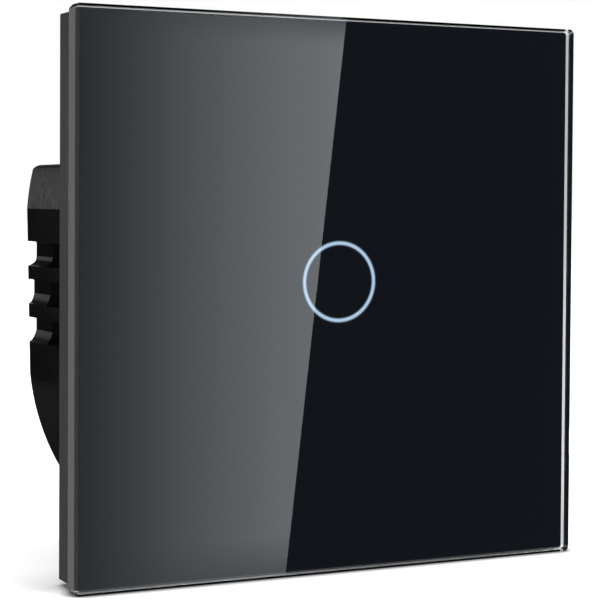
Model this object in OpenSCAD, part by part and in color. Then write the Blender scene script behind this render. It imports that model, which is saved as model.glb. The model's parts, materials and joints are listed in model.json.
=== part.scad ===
// Touch light switch: bevelled glass panel with a lit ring, push-on frame, mounting plate and
// rear housing with a relay, a supply board and three screw terminals.
// X runs to the right, Y into the wall and Z up. The origin lies on the wall, behind the panel's middle.

/* [Glass panel] */
// Width and height of the glass
panel_w = 86; // [84:1:90]
// Thickness of the glass
glass_t = 3.5; // [3:0.1:5]
// Size of the polished bevel round the front edge
glass_bevel = 0.4; // [0.3:0.1:1]
// Size of the cut at each corner of the glass
glass_corner = 0.6; // [0.4:0.1:2]
// Distance from the wall to the rear of the glass
wall_to_glass = 6.4; // [6.1:0.1:7.5]
// Outer diameter of the lit ring
ring_d = 12.6; // [10:0.2:16]
// Width of the lit ring's line
ring_line = 0.55; // [0.4:0.05:1]
// Height of the ring's middle above the panel's middle
ring_z = 2.1; // [0:0.1:4]
// How far the ring stands to the right of the panel's middle
ring_x = 0.9; // [-2:0.1:2]

/* [Panel frame] */
// Distance from the glass's edge to the frame's side
frame_inset = 0.8; // [0.4:0.1:1.5]
// Thickness of the frame's skirt
frame_wall = 1.6; // [1.2:0.1:2]
// Width of each grip tongue
tongue_w = 9; // [6:0.5:12]

/* [Mounting plate] */
// Distance between the two box-screw slots
fixing_spacing = 60; // [58:0.5:61]
// Width of a box-screw slot
slot_w = 4.2; // [3.6:0.1:4.8]
// Length of a box-screw slot from end to end
slot_length = 8; // [6:0.5:9]
// Thickness of the plate
plate_t = 1.6; // [1.4:0.1:1.8]

/* [Rear housing] */
// Distance from the glass's edge to the housing's side
housing_margin = 7; // [6:0.1:8]
// Depth of the housing behind the wall's face
housing_depth = 35.1; // [32.5:0.1:37]
// Height of the housing's flat top above the panel's middle
housing_top = 20.4; // [20:0.2:22]
// Depth of the housing's flat bottom below the panel's middle
housing_bottom = 34; // [33.5:0.1:36]
// Radius of the rounded sides
side_r = 40; // [38:0.5:44]
// Thickness of the housing's walls
housing_wall = 1.8; // [1.5:0.1:2]

/* [Terminals] */
// Distance from one terminal to the next
terminal_pitch = 6.35; // [6.1:0.05:6.6]
// Width of the wire grooves in the housing's side
groove_w = 4.1; // [3.7:0.1:4.3]
// Depth of the outer two wire grooves
groove_depth = 1.65; // [1.2:0.05:1.7]
// Depth of the middle wire groove
groove_depth_middle = 1.25; // [1:0.05:1.7]
// Distance that a clamp travels
clamp_travel = 3.2; // [2.4:0.1:3.3]

/* [Hidden] */
$fn = 64;

// Overshoot of a cutting shape past the face that it cuts
past = 1;
// Gap between pieces that fit into each other on one body
fit_gap = 0.05;
// Gap between pieces that move past each other
move_gap = 0.35;

// Glass and print, front to rear
glass_back = -wall_to_glass;
glass_front = glass_back - glass_t;
print_t = 0.15;
print_back = glass_back + print_t;
print_margin = 0.4;
print_corner = 0.3;
ring_at = [ring_x, ring_z];
ring_r = ring_d / 2;
ring_inner_r = ring_r - ring_line;
window_gap = 0.02;

// Frame
tape_t = 0.25;
tape_margin = 1.2;
frame_front = print_back + tape_t;
frame_gap = 0.2;
frame_rear = -frame_gap;
frame_w = panel_w - 2 * frame_inset;
frame_inner_w = frame_w - 2 * frame_wall;
land_t = 1.4;
land_w = 6;
land_rear = frame_front + land_t;
land_open_w = frame_inner_w - 2 * land_w;
land_corner_r = 3;
tongue_t = 1;
tongue_step = 1.5;
tongue_offset = 18;
tongue_rear = -2 * frame_gap;
pry_w = 8;
pry_h = 1.4;

// Mounting plate
plate_front = -plate_t;
plate_side_gap = 0.5;
plate_w = frame_inner_w - 2 * plate_side_gap;
plate_corner = 4;
notch_w = tongue_w + 2 * move_gap;
tongue_inner = plate_w / 2 - tongue_step;
notch_floor = tongue_inner - move_gap;
rim_step = 3.5;
rim_h = 1.6;
rim_wall = 1.2;
rim_w = plate_w - 2 * rim_step;
rim_front = plate_front - rim_h;
recess_t = 0.4;
recess_gap = 0.5;
post_r = 2.4;
board_gap = 0.8;
link_z = -17;
link_pin_count = 5;
link_pitch = 2.54;
link_w = link_pin_count * link_pitch;
window_margin = 2.2;
window_h = 5;
window_w = link_w + 2 * window_margin;

// Housing
housing_half = panel_w / 2 - housing_margin;
side_upper_z = 12.5;
side_lower_z = -10.5;
// The flat between the two arcs leans in towards the bottom by this angle
side_lean = 1.17;
// The upper arc starts lower and further out than the flat's top, which leaves a slight edge there
arc_drop = 2.1;
arc_pass = 0.1;
lower_arc_step = 0.34;
// The top corners' radius, and how far in from the side its centre lies
top_round = 2;
top_round_step = 2.55;
rear_wall = 2;
rear_inner = housing_depth - rear_wall;
lug_room = 5.5;
notch_half = 9;
notch_top = fixing_spacing / 2 - lug_room;
boss_r = 3.3;
boss_gap = 0.5;
boss_step = 6;
boss_drop = 5.9;
boss_rise = 6;
lower_boss_x = 18.5;
upper_boss = [housing_half - boss_step, housing_top - boss_drop];
lower_boss = [lower_boss_x, boss_rise - housing_bottom];
boss_hole_depth = 12;
rib_t = 1.2;
rib_start = 2.5;
ledge_y = 10;
ledge_lap = 1.2;
side_ledge_low = -17;
side_ledge_high = -14;
top_ledge_left = -14;
top_ledge_right = -8;
vent_w = 2;
vent_length = 16;
vent_z = 2;
vent_pitch = 5;
vent_count = 5;

// Screws of the housing: through the plate into the bosses
screw_r = 1.45;
screw_hole_r = screw_r + fit_gap;
screw_play = 0.15;
plate_hole_r = screw_r + screw_play;
screw_head_r = 2.7;
screw_head_h = 1.8;
screw_length = 10;
screw_slot_w = 0.7;
screw_slot_depth = 0.9;

// Touch board
board_t = 1.2;
board_rear = plate_front - board_gap;
board_front = board_rear - board_t;
board_side_gap = 1.3;
box_screw_room = 6;
board_w = 2 * (upper_boss[0] - screw_head_r - board_side_gap);
board_h = fixing_spacing - 2 * box_screw_room;
board_screw_step = 3.2;
board_screw_at = [board_w / 2 - board_screw_step, board_h / 2 - board_screw_step];
board_screw_r = 0.95;
board_screw_hole_r = board_screw_r + fit_gap;
board_screw_head_r = 1.8;
board_screw_head_h = 1.1;
guide_front = print_back + move_gap;
guide_t = 0.7;
guide_margin = 0.75;
guide_rear = guide_front + guide_t;
guide_outer_r = ring_r + guide_margin;
guide_inner_r = ring_inner_r - guide_margin;
guide_leg_r = 0.55;
guide_mid_r = (ring_r + ring_inner_r) / 2;
led_size = [1.6, 0.6, 1];
pad_gap = 0.9;
pad_r = guide_inner_r - pad_gap;
chip_at = [-14, -13];
chip_size = [5, 1.3, 4];
chip_lift = 0.1;
lead_size = [0.4, 0.5, 1];
lead_step = 0.4;
lead_pitch = 1.27;

// Power board
power_front = 5;
power_t = 1.6;
power_rear = power_front + power_t;
power_side_gap = 4.8;
power_gap = 0.4;
power_half = housing_half - power_side_gap;
power_top = housing_top - housing_wall - power_gap;
power_bottom = max(-notch_top + housing_wall + power_gap, lower_boss[1] + boss_r + boss_gap);
power_corner = upper_boss - [boss_r + boss_gap, boss_r + boss_gap];
pin_w = 0.64;
pin_past = 0.6;
pin_end = 0.5;
socket_h = 3.8;
socket_floor = 0.2;
socket_front = power_front - socket_h;
header_h = 2.5;

// Terminals, from the screw access holes at the rear to the contact legs at the board
terminal_z = -0.8;
terminal_count = 3;
groove_length = 8.6;
mouth_length = 12;
mouth_rear = housing_depth - groove_length;
mouth_front = mouth_rear - mouth_length;
// Radius between a groove's floor and its lower edge
groove_round = 1.2;
pad_wall = 1.65;
block_gap = 0.3;
block_w = 9.4;
block_end = 2.9;
block_left = -housing_half + groove_depth + pad_wall + block_gap;
block_right = block_left + block_w;
block_wall = 1;
block_rear = rear_inner - block_gap;
block_half_h = terminal_pitch + block_end;
cell_wall = 1.65;
cell_half = (terminal_pitch - cell_wall) / 2;
screw_step = 4.4;
clamp_x = block_left + screw_step;
head_r = 1.9;
head_h = 2.2;
head_depth = 3.6;
access_r = head_r + move_gap;
head_front = block_rear - head_depth;
head_seat = head_front - block_gap;
seat_t = 1;
cell_rear = head_seat - seat_t;
clamp_gap = 0.4;
clamp_rear = cell_rear - clamp_gap - clamp_travel;
clamp_half_h = cell_half - move_gap;
clamp_half_l = 2.6;
clamp_nut_t = 2;
clamp_foot_t = 1.2;
clamp_side_t = 0.6;
thread_r = 1.25;
thread_hole_r = thread_r + fit_gap;
bar_t = 1.3;
tip_room = 1.9;
bar_rear = clamp_rear - clamp_nut_t - tip_room;
bar_front = bar_rear - bar_t;
bar_half_h = clamp_half_h - clamp_side_t - clamp_gap;
clamp_front = bar_front - clamp_gap - clamp_travel - clamp_foot_t;
cell_end = 1.2;
cell_front = clamp_front - cell_end;
wire_lip = 0.45;
wire_half = cell_half - wire_lip;
wire_front = clamp_front + clamp_foot_t - block_gap;
leg_t = 1.2;
leg_past = 1;
leg_front = power_front - leg_past;

// Relay
relay_w = 20;
relay_h = 15;
relay_gap = 1.7;
relay_z = 6;
relay_at = [upper_boss[0] - boss_r - relay_gap - relay_w / 2, relay_z];
relay_left = relay_at[0] - relay_w / 2;
relay_right = relay_at[0] + relay_w / 2;
relay_base_t = 2;
relay_base_rear = power_rear + relay_base_t;
relay_cover_h = 16;
relay_top = relay_base_rear + relay_cover_h;
relay_cover_t = 0.8;
yoke_t = 1;
yoke_step = 1.4;
yoke_h = 11.6;
yoke_left = relay_left + yoke_step;
yoke_half_h = 4;
yoke_front = relay_base_rear;
yoke_top = yoke_front + yoke_h;
bobbin_r = 5;
bobbin_wall = 0.7;
coil_r = 4.4;
coil_step = 7;
coil_x = yoke_left + coil_step;
core_r = 2;
bobbin_hole_r = core_r + fit_gap;
pole_r = 2.8;
pole_t = 0.8;
pole_drop = 0.4;
bobbin_front = yoke_front + yoke_t;
pole_top = yoke_top - pole_drop;
bobbin_rear = pole_top - pole_t;
flange_t = 0.8;
armature_gap = 0.5;
armature_t = 1;
armature_length = 11.8;
armature_front = yoke_top + armature_gap;
armature_end = yoke_left + armature_length;
blade_t = 0.3;
blade_past = 1.1;
blade_half_h = 1.8;
contact_step = 3.5;
contact_x = relay_right - contact_step;
contact_r = 1.1;
contact_t = 0.5;
contact_gap = 1.3;
contact_post_half = 0.4;

// Supply parts, each placed from its neighbour
part_gap = 1.4;
lead_r = 0.35;
transformer_size = [15, 11, 12];
transformer_window = [9, 7];
transformer_post = 1.7;
transformer_edge = 3.5;
transformer_rise = 2.3;
coil_gap = 0.15;
coil_past = 1;
transformer_low = [power_half - transformer_edge - transformer_size[0], power_bottom + transformer_rise];
main_r = 4.6;
main_length = 16;
main_rise = 3.1;
main_groove_y = 1.6;
main_groove_w = 0.8;
main_groove_t = 0.4;
vent_groove_w = 0.5;
vent_groove_t = 0.3;
main_at = [transformer_low[0] - 2 * part_gap - main_r, power_bottom + main_rise + main_r];
film_size = [13, 12, 6];
film_rise = 6.7;
film_low = [main_at[0] - main_r - part_gap - film_size[0], power_bottom + film_rise];
fuse_r = 1.6;
fuse_length = 9;
fuse_height = 3;
fuse_lead = 1.5;
fuse_x = -8;
fuse_drop = 4.2;
fuse_at = [fuse_x, power_top - fuse_drop];
varistor_r = 3.6;
varistor_t = 2.6;
varistor_lift = 1;
varistor_lead = 1.8;
varistor_z = 5;
varistor_at = [block_right + leg_t + 2 * part_gap + varistor_r, varistor_z];
rectifier_size = [8, 2.6, 6.4];
rectifier_z = 3.4;
rectifier_low = [(varistor_at[0] + varistor_r + relay_left - rectifier_size[0]) / 2, rectifier_z];
supply_chip_at = [-12, -12];

// A block between two opposite corners
module slab(low, high) {
  translate(low)
    cube(high - low);
}

// A square plate round the Y axis
module square_plate(width, y_low, y_high) {
  slab([-width / 2, y_low, -width / 2], [width / 2, y_high, width / 2]);
}

// A round rod along Y, at a place given in X and Z
module rod(radius, y_low, y_high, at = [0, 0]) {
  translate([at[0], y_low, at[1]])
    rotate([-90, 0, 0])
      cylinder(r = radius, h = y_high - y_low);
}

// A flat ring round the Y axis
module ring(outer_r, inner_r, y_low, y_high, at = [0, 0]) {
  difference() {
    rod(outer_r, y_low, y_high, at);
    rod(inner_r, y_low - past, y_high + past, at);
  }
}

// A square plate with its corners cut off
module cut_plate(width, corner, y_low, y_high) {
  half = width / 2;
  short = half - corner;
  translate([0, y_high, 0])
    rotate([90, 0, 0])
      linear_extrude(height = y_high - y_low)
        polygon([[-short, -half], [short, -half], [half, -short], [half, short],
                 [short, half], [-short, half], [-half, short], [-half, -short]]);
}

// Copies of a piece on the left and on the right
module both_sides() {
  children();
  mirror([1, 0, 0])
    children();
}

// Four copies of a piece, one on each side of the square panel
module four_sides() {
  for (quarter = [0:3])
    rotate([0, 90 * quarter, 0])
      children();
}

// A slot along Z with round ends
module upright_slot(width, length, y_low, y_high, at) {
  reach = (length - width) / 2;
  slab([at[0] - width / 2, y_low, at[1] - reach], [at[0] + width / 2, y_high, at[1] + reach]);
  for (end = [-reach, reach])
    rod(width / 2, y_low, y_high, [at[0], at[1] + end]);
}

// The glass's edge profile: straight sides, bevelled at the front
module bevel_profile() {
  half = panel_w / 2;
  short = half - glass_bevel;
  polygon([[glass_front, -short], [glass_front, short], [glass_front + glass_bevel, half],
           [glass_back, half], [glass_back, -half], [glass_front + glass_bevel, -half]]);
}

module glass_panel() {
  color([0.75, 0.82, 0.84, 0.4])
    intersection() {
      translate([-panel_w / 2, 0, 0])
        rotate([90, 0, 90])
          linear_extrude(height = panel_w)
            bevel_profile();
      translate([0, 0, -panel_w / 2])
        linear_extrude(height = panel_w)
          mirror([1, -1, 0])
            bevel_profile();
      cut_plate(panel_w, glass_corner, glass_front, glass_back);
    }
}

module back_print() {
  color([0.02, 0.02, 0.025]) {
    difference() {
      cut_plate(panel_w - 2 * print_margin, print_corner, glass_back, print_back);
      rod(ring_r, glass_back - past, print_back + past, ring_at);
    }
    rod(ring_inner_r, glass_back, print_back, ring_at);
  }
}

module ring_window() {
  color([0.72, 0.84, 0.94])
    ring(ring_r - window_gap, ring_inner_r + window_gap, glass_back, print_back, ring_at);
}

module panel_tape() {
  color([0.12, 0.12, 0.12])
    difference() {
      square_plate(frame_w - 2 * tape_margin, print_back, frame_front);
      square_plate(land_open_w + 2 * tape_margin, print_back - past, frame_front + past);
    }
}

// The opening in the frame's land, with round corners
module land_opening() {
  half = land_open_w / 2;
  short = half - land_corner_r;
  low = frame_front - past;
  high = land_rear + past;
  slab([-half, low, -short], [half, high, short]);
  slab([-short, low, -half], [short, high, half]);
  for (x = [-short, short], z = [-short, short])
    rod(land_corner_r, low, high, [x, z]);
}

module grip_tongue() {
  low = tongue_inner;
  translate([tongue_offset, 0, 0])
    slab([-tongue_w / 2, land_rear - fit_gap, low], [tongue_w / 2, tongue_rear, low + tongue_t]);
}

module panel_frame() {
  color([0.05, 0.05, 0.055]) {
    difference() {
      square_plate(frame_w, frame_front, frame_rear);
      square_plate(frame_inner_w, land_rear, frame_rear + past);
      land_opening();
      slab([-pry_w / 2, frame_rear - pry_h, -frame_w / 2 - past],
           [pry_w / 2, frame_rear + past, -frame_inner_w / 2 + past]);
    }
    four_sides()
      both_sides()
        grip_tongue();
  }
}

// The housing's outline seen from the front, grown or shrunk all round, between two depths
module housing_shape(grow, y_low, y_high) {
  half = housing_half + grow;
  top = housing_top + grow;
  bottom = -housing_bottom - grow;
  radius = side_r + grow;
  arc_x = side_r - housing_half;
  upper_arc = [arc_x - arc_pass, side_upper_z - arc_drop];
  lower_arc = [arc_x + lower_arc_step, side_lower_z];
  corner = [top_round_step - half, top - top_round];
  top_half = half + (top - side_upper_z) * tan(side_lean);
  bottom_half = half + (bottom - side_upper_z) * tan(side_lean);
  difference() {
    translate([0, y_high, 0])
      rotate([90, 0, 0])
        linear_extrude(height = y_high - y_low)
          polygon([[-top_half, top], [-bottom_half, bottom], [bottom_half, bottom], [top_half, top]]);
    slab([-notch_half + grow, y_low - past, bottom - past],
         [notch_half - grow, y_high + past, -notch_top - grow]);
    both_sides() {
      difference() {
        slab([-half - past, y_low - past, bottom - past], [-notch_half, y_high + past, side_lower_z]);
        rod(radius, y_low - 2 * past, y_high + 2 * past, lower_arc);
      }
      difference() {
        slab([-half - past, y_low - past, side_upper_z], [-notch_half, y_high + past, top + past]);
        rod(radius, y_low - 2 * past, y_high + 2 * past, upper_arc);
      }
      difference() {
        slab([-half - past, y_low - past, corner[1]], [corner[0], y_high + past, top + past]);
        rod(top_round, y_low - 2 * past, y_high + 2 * past, corner);
      }
    }
  }
}

module mounting_plate() {
  color([0.13, 0.13, 0.135])
    difference() {
      union() {
        cut_plate(plate_w, plate_corner, plate_front, 0);
        difference() {
          square_plate(rim_w, rim_front, plate_front + fit_gap);
          square_plate(rim_w - 2 * rim_wall, rim_front - past, plate_front + past);
        }
        for (x = [-1, 1], z = [-1, 1])
          rod(post_r, board_rear, plate_front + fit_gap, [x * board_screw_at[0], z * board_screw_at[1]]);
      }
      housing_shape(recess_gap, -recess_t, past);
      four_sides()
        both_sides()
          translate([tongue_offset, 0, 0])
            slab([-notch_w / 2, plate_front - past, notch_floor], [notch_w / 2, past, plate_w / 2 + past]);
      for (z = [-1, 1])
        upright_slot(slot_w, slot_length, plate_front - past, past, [0, z * fixing_spacing / 2]);
      both_sides() {
        rod(plate_hole_r, plate_front - past, past, upper_boss);
        rod(plate_hole_r, plate_front - past, past, lower_boss);
      }
      for (x = [-1, 1], z = [-1, 1])
        rod(board_screw_hole_r, board_rear - past, past, [x * board_screw_at[0], z * board_screw_at[1]]);
      slab([-window_w / 2, plate_front - past, link_z - window_h / 2],
           [window_w / 2, past, link_z + window_h / 2]);
    }
}

// Height of a terminal, counted from the lowest
function terminal_at(index) = terminal_z + (index - 1) * terminal_pitch;

// Depth of a terminal's wire groove
function groove_at(index) = index == 1 ? groove_depth_middle : groove_depth;

// A wire groove in the housing's left side: square at its upper edge, rounded out at its lower one
module wire_groove(index) {
  z = terminal_at(index);
  high = z + groove_w / 2;
  low = z - groove_w / 2;
  outside = -housing_half - past;
  floor_x = -housing_half + groove_at(index);
  front = mouth_rear - fit_gap;
  rear = housing_depth + past;
  difference() {
    slab([outside, front, low], [floor_x, rear, high]);
    difference() {
      slab([floor_x - groove_round, front - past, low - past],
           [floor_x + past, rear + past, low + groove_round]);
      rod(groove_round, front - 2 * past, rear + 2 * past, [floor_x - groove_round, low + groove_round]);
    }
  }
  slab([outside, mouth_front, low], [block_left, mouth_rear, high]);
}

module screw_boss(at) {
  difference() {
    rod(boss_r, -recess_t, rear_inner + fit_gap, at);
    rod(screw_hole_r, -recess_t - past, boss_hole_depth, at);
  }
}

// Ribs that tie the bosses to the housing's side and bottom
module boss_ribs() {
  slab([upper_boss[0] + rib_start, ledge_y, upper_boss[1] - rib_t / 2],
       [housing_half - housing_wall + fit_gap, rear_inner + fit_gap, upper_boss[1] + rib_t / 2]);
  slab([lower_boss[0] - rib_t / 2, ledge_y, -housing_bottom + housing_wall - fit_gap],
       [lower_boss[0] + rib_t / 2, rear_inner + fit_gap, lower_boss[1] - rib_start]);
}

module vent_slot(x) {
  upright_slot(vent_w, vent_length, rear_inner - past, housing_depth + past, [x, vent_z]);
}

module rear_housing() {
  pad_left = -housing_half + housing_wall - fit_gap;
  color([0.045, 0.045, 0.05])
    difference() {
      union() {
        difference() {
          housing_shape(0, -recess_t, housing_depth);
          housing_shape(-housing_wall, -recess_t - past, rear_inner);
        }
        both_sides() {
          screw_boss(upper_boss);
          screw_boss(lower_boss);
          boss_ribs();
          slab([pad_left, power_rear, side_ledge_low], [-power_half + ledge_lap, ledge_y, side_ledge_high]);
          slab([top_ledge_left, power_rear, power_top - ledge_lap],
               [top_ledge_right, ledge_y, housing_top - housing_wall + fit_gap]);
        }
        slab([pad_left, mouth_rear, terminal_z - block_half_h],
             [-housing_half + groove_depth + pad_wall, rear_inner + fit_gap, terminal_z + block_half_h]);
      }
      for (index = [0:terminal_count - 1]) {
        wire_groove(index);
        rod(access_r, rear_inner - past, housing_depth + past, [clamp_x, terminal_at(index)]);
      }
      for (vent = [0:vent_count - 1])
        vent_slot(relay_at[0] + (vent - (vent_count - 1) / 2) * vent_pitch);
    }
}

// A pan-head screw with a slot, its shank running into the wall
module pan_screw(at) {
  difference() {
    union() {
      rod(screw_head_r, plate_front - screw_head_h, plate_front, at);
      rod(screw_r, plate_front - fit_gap, plate_front + screw_length, at);
    }
    slab([at[0] - screw_head_r - past, plate_front - screw_head_h - past, at[1] - screw_slot_w / 2],
         [at[0] + screw_head_r + past, plate_front - screw_head_h + screw_slot_depth,
          at[1] + screw_slot_w / 2]);
  }
}

module housing_screws() {
  color([0.72, 0.72, 0.74])
    both_sides() {
      pan_screw(upper_boss);
      pan_screw(lower_boss);
    }
}

module touch_board() {
  color([0.05, 0.2, 0.11])
    difference() {
      slab([-board_w / 2, board_front, -board_h / 2], [board_w / 2, board_rear, board_h / 2]);
      for (x = [-1, 1], z = [-1, 1])
        rod(board_screw_hole_r, board_front - past, board_rear + past,
            [x * board_screw_at[0], z * board_screw_at[1]]);
      for (pin = [0:link_pin_count - 1])
        pin_shape(pin, board_front - past, board_rear + past, fit_gap);
    }
}

module board_screw(at) {
  difference() {
    union() {
      rod(board_screw_head_r, board_front - board_screw_head_h, board_front, at);
      rod(board_screw_r, board_front - fit_gap, -recess_t, at);
    }
    slab([at[0] - board_screw_head_r - past, board_front - board_screw_head_h - past,
          at[1] - screw_slot_w / 2],
         [at[0] + board_screw_head_r + past, board_front - board_screw_head_h / 2,
          at[1] + screw_slot_w / 2]);
  }
}

module board_screws() {
  color([0.72, 0.72, 0.74])
    for (x = [-1, 1], z = [-1, 1])
      board_screw([x * board_screw_at[0], z * board_screw_at[1]]);
}

// A point on the ring's middle circle
function on_ring(angle) = ring_at + guide_mid_r * [cos(angle), sin(angle)];

module light_guide() {
  color([0.9, 0.94, 0.97, 0.6]) {
    ring(guide_outer_r, guide_inner_r, guide_front, guide_rear, ring_at);
    for (angle = [0:120:240])
      rod(guide_leg_r, guide_rear - fit_gap, board_front, on_ring(angle));
  }
}

module ring_leds() {
  color([0.93, 0.93, 0.9])
    for (angle = [60:120:300])
      translate([on_ring(angle)[0], board_front, on_ring(angle)[1]])
        rotate([0, 90 - angle, 0])
          slab([-led_size[0] / 2, -led_size[1], -led_size[2] / 2], [led_size[0] / 2, 0, led_size[2] / 2]);
}

module touch_pad() {
  color([0.2, 0.2, 0.21])
    rod(pad_r, guide_front, board_front, ring_at);
}

// A flat chip with four leads on each side, seated at a depth and rising towards the front
module chip(at, seat) {
  slab([at[0] - chip_size[0] / 2, seat - chip_size[1], at[1] - chip_size[2] / 2],
       [at[0] + chip_size[0] / 2, seat - chip_lift, at[1] + chip_size[2] / 2]);
  for (lead = [0:3], side = [-1, 1])
    translate([at[0] + (lead - 1.5) * lead_pitch, seat, at[1] + side * (chip_size[2] / 2 + lead_step)])
      slab([-lead_size[0] / 2, -lead_size[1], -lead_size[2] / 2], [lead_size[0] / 2, 0, lead_size[2] / 2]);
}

module touch_chip() {
  color([0.08, 0.08, 0.085])
    chip(chip_at, board_front);
}

// One square pin of the link, or the hole that takes it
module pin_shape(pin, y_low, y_high, gap) {
  x = (pin - (link_pin_count - 1) / 2) * link_pitch;
  half = pin_w / 2 + gap;
  slab([x - half, y_low, link_z - half], [x + half, y_high, link_z + half]);
}

module link_header() {
  color([0.07, 0.07, 0.075])
    difference() {
      slab([-link_w / 2, board_rear, link_z - header_h / 2],
           [link_w / 2, board_rear + header_h, link_z + header_h / 2]);
      for (pin = [0:link_pin_count - 1])
        pin_shape(pin, board_rear - past, board_rear + header_h + past, fit_gap);
    }
}

module link_pins() {
  color([0.83, 0.68, 0.36])
    for (pin = [0:link_pin_count - 1])
      pin_shape(pin, board_front - pin_past, power_front - pin_end, 0);
}

module link_socket() {
  color([0.07, 0.07, 0.075])
    difference() {
      slab([-link_w / 2, socket_front, link_z - header_h / 2],
           [link_w / 2, power_front, link_z + header_h / 2]);
      for (pin = [0:link_pin_count - 1])
        pin_shape(pin, socket_front - past, power_front - socket_floor, fit_gap);
    }
}

module power_board() {
  color([0.06, 0.24, 0.13])
    difference() {
      slab([-power_half, power_front, power_bottom], [power_half, power_rear, power_top]);
      both_sides()
        slab([power_corner[0], power_front - past, power_corner[1]],
             [power_half + past, power_rear + past, power_top + past]);
      for (index = [0:terminal_count - 1])
        slab([block_right, power_front - past, terminal_at(index) - bar_half_h - fit_gap],
             [block_right + leg_t + 2 * fit_gap, power_rear + past,
              terminal_at(index) + bar_half_h + fit_gap]);
    }
}

module supply_chip() {
  color([0.08, 0.08, 0.085])
    chip(supply_chip_at, power_front);
}

module film_capacitor() {
  color([0.75, 0.6, 0.14])
    slab([film_low[0], power_rear, film_low[1]],
         [film_low[0] + film_size[0], power_rear + film_size[1], film_low[1] + film_size[2]]);
}

module main_capacitor() {
  color([0.12, 0.14, 0.2])
    difference() {
      rod(main_r, power_rear, power_rear + main_length, main_at);
      ring(main_r + past, main_r - main_groove_t, power_rear + main_groove_y,
           power_rear + main_groove_y + main_groove_w, main_at);
      slab([main_at[0] - main_r, power_rear + main_length - vent_groove_t, main_at[1] - vent_groove_w / 2],
           [main_at[0] + main_r, power_rear + main_length + past, main_at[1] + vent_groove_w / 2]);
    }
}

module transformer_core() {
  low = [transformer_low[0], power_rear, transformer_low[1]];
  high = low + transformer_size;
  middle = low + transformer_size / 2;
  color([0.2, 0.2, 0.21])
    difference() {
      slab(low, high);
      for (side = [-1, 1])
        translate([middle[0] + side * (transformer_window[0] / 4 + transformer_post / 2), middle[1], 0])
          slab([-transformer_window[0] / 4, -transformer_window[1] / 2, low[2] - past],
               [transformer_window[0] / 4, transformer_window[1] / 2, high[2] + past]);
    }
}

module transformer_coil() {
  low = [transformer_low[0], power_rear, transformer_low[1]];
  middle = low + transformer_size / 2;
  half_x = transformer_window[0] / 2 + transformer_post / 2 - coil_gap;
  half_y = transformer_window[1] / 2 - coil_gap;
  half_z = transformer_size[2] / 2 + coil_past;
  inner_x = transformer_post / 2 + coil_gap;
  color([0.62, 0.48, 0.12])
    for (side = [-1, 1])
      translate(middle)
        slab([min(side * inner_x, side * half_x), -half_y, -half_z],
             [max(side * inner_x, side * half_x), half_y, half_z]);
}

module fuse_resistor() {
  y = power_rear + fuse_height;
  reach = fuse_length / 2 + fuse_lead;
  color([0.25, 0.4, 0.5]) {
    translate([fuse_at[0] - fuse_length / 2, y, fuse_at[1]])
      rotate([0, 90, 0])
        cylinder(r = fuse_r, h = fuse_length);
    translate([fuse_at[0] - reach, y, fuse_at[1]])
      rotate([0, 90, 0])
        cylinder(r = lead_r, h = 2 * reach);
    for (x = [-reach, reach])
      rod(lead_r, power_rear, y + lead_r, [fuse_at[0] + x, fuse_at[1]]);
  }
}

module varistor() {
  y = power_rear + varistor_r + varistor_lift;
  color([0.1, 0.22, 0.42]) {
    translate([varistor_at[0], y, varistor_at[1] - varistor_t / 2])
      cylinder(r = varistor_r, h = varistor_t);
    for (x = [-varistor_lead, varistor_lead])
      rod(lead_r, power_rear, y, [varistor_at[0] + x, varistor_at[1]]);
  }
}

module bridge_rectifier() {
  color([0.08, 0.08, 0.085])
    slab([rectifier_low[0], power_rear, rectifier_low[1]],
         [rectifier_low[0] + rectifier_size[0], power_rear + rectifier_size[1],
          rectifier_low[1] + rectifier_size[2]]);
}

module terminal_block() {
  color([0.03, 0.03, 0.032])
    difference() {
      slab([block_left, power_rear, terminal_z - block_half_h],
           [block_right, block_rear, terminal_z + block_half_h]);
      for (index = [0:terminal_count - 1]) {
        z = terminal_at(index);
        slab([block_left + block_wall, cell_front, z - cell_half],
             [block_right - block_wall, cell_rear, z + cell_half]);
        slab([block_left - past, wire_front, z - wire_half],
             [block_left + block_wall + past, bar_front, z + wire_half]);
        slab([block_right - block_wall - past, bar_front - fit_gap, z - bar_half_h - fit_gap],
             [block_right + past, bar_rear + fit_gap, z + bar_half_h + fit_gap]);
        rod(thread_hole_r, cell_rear - past, head_seat + past, [clamp_x, z]);
        rod(access_r, head_seat, block_rear + past, [clamp_x, z]);
      }
    }
}

module terminal_contacts() {
  leg_left = block_right + fit_gap;
  color([0.8, 0.68, 0.42])
    for (index = [0:terminal_count - 1]) {
      z = terminal_at(index);
      slab([block_left + block_wall + block_gap, bar_front, z - bar_half_h],
           [leg_left + leg_t, bar_rear, z + bar_half_h]);
      slab([leg_left, leg_front, z - bar_half_h], [leg_left + leg_t, bar_rear, z + bar_half_h]);
    }
}

module terminal_screw(index) {
  at = [clamp_x, terminal_at(index)];
  tip = bar_rear + move_gap;
  color([0.78, 0.78, 0.8])
    difference() {
      union() {
        rod(head_r, head_front, head_front + head_h, at);
        rod(thread_r, tip, head_front + fit_gap, at);
      }
      slab([at[0] - head_r - past, head_front + head_h - screw_slot_depth, at[1] - screw_slot_w / 2],
           [at[0] + head_r + past, head_front + head_h + past, at[1] + screw_slot_w / 2]);
    }
}

module terminal_clamp(index) {
  z = terminal_at(index);
  color([0.75, 0.75, 0.72])
    difference() {
      slab([clamp_x - clamp_half_l, clamp_front, z - clamp_half_h],
           [clamp_x + clamp_half_l, clamp_rear, z + clamp_half_h]);
      slab([clamp_x - clamp_half_l - past, clamp_front + clamp_foot_t, z - clamp_half_h + clamp_side_t],
           [clamp_x + clamp_half_l + past, clamp_rear - clamp_nut_t, z + clamp_half_h - clamp_side_t]);
      rod(thread_hole_r, clamp_rear - clamp_nut_t - past, clamp_rear + past, [clamp_x, z]);
    }
}

module terminal_screw_1() {
  terminal_screw(0);
}

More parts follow.
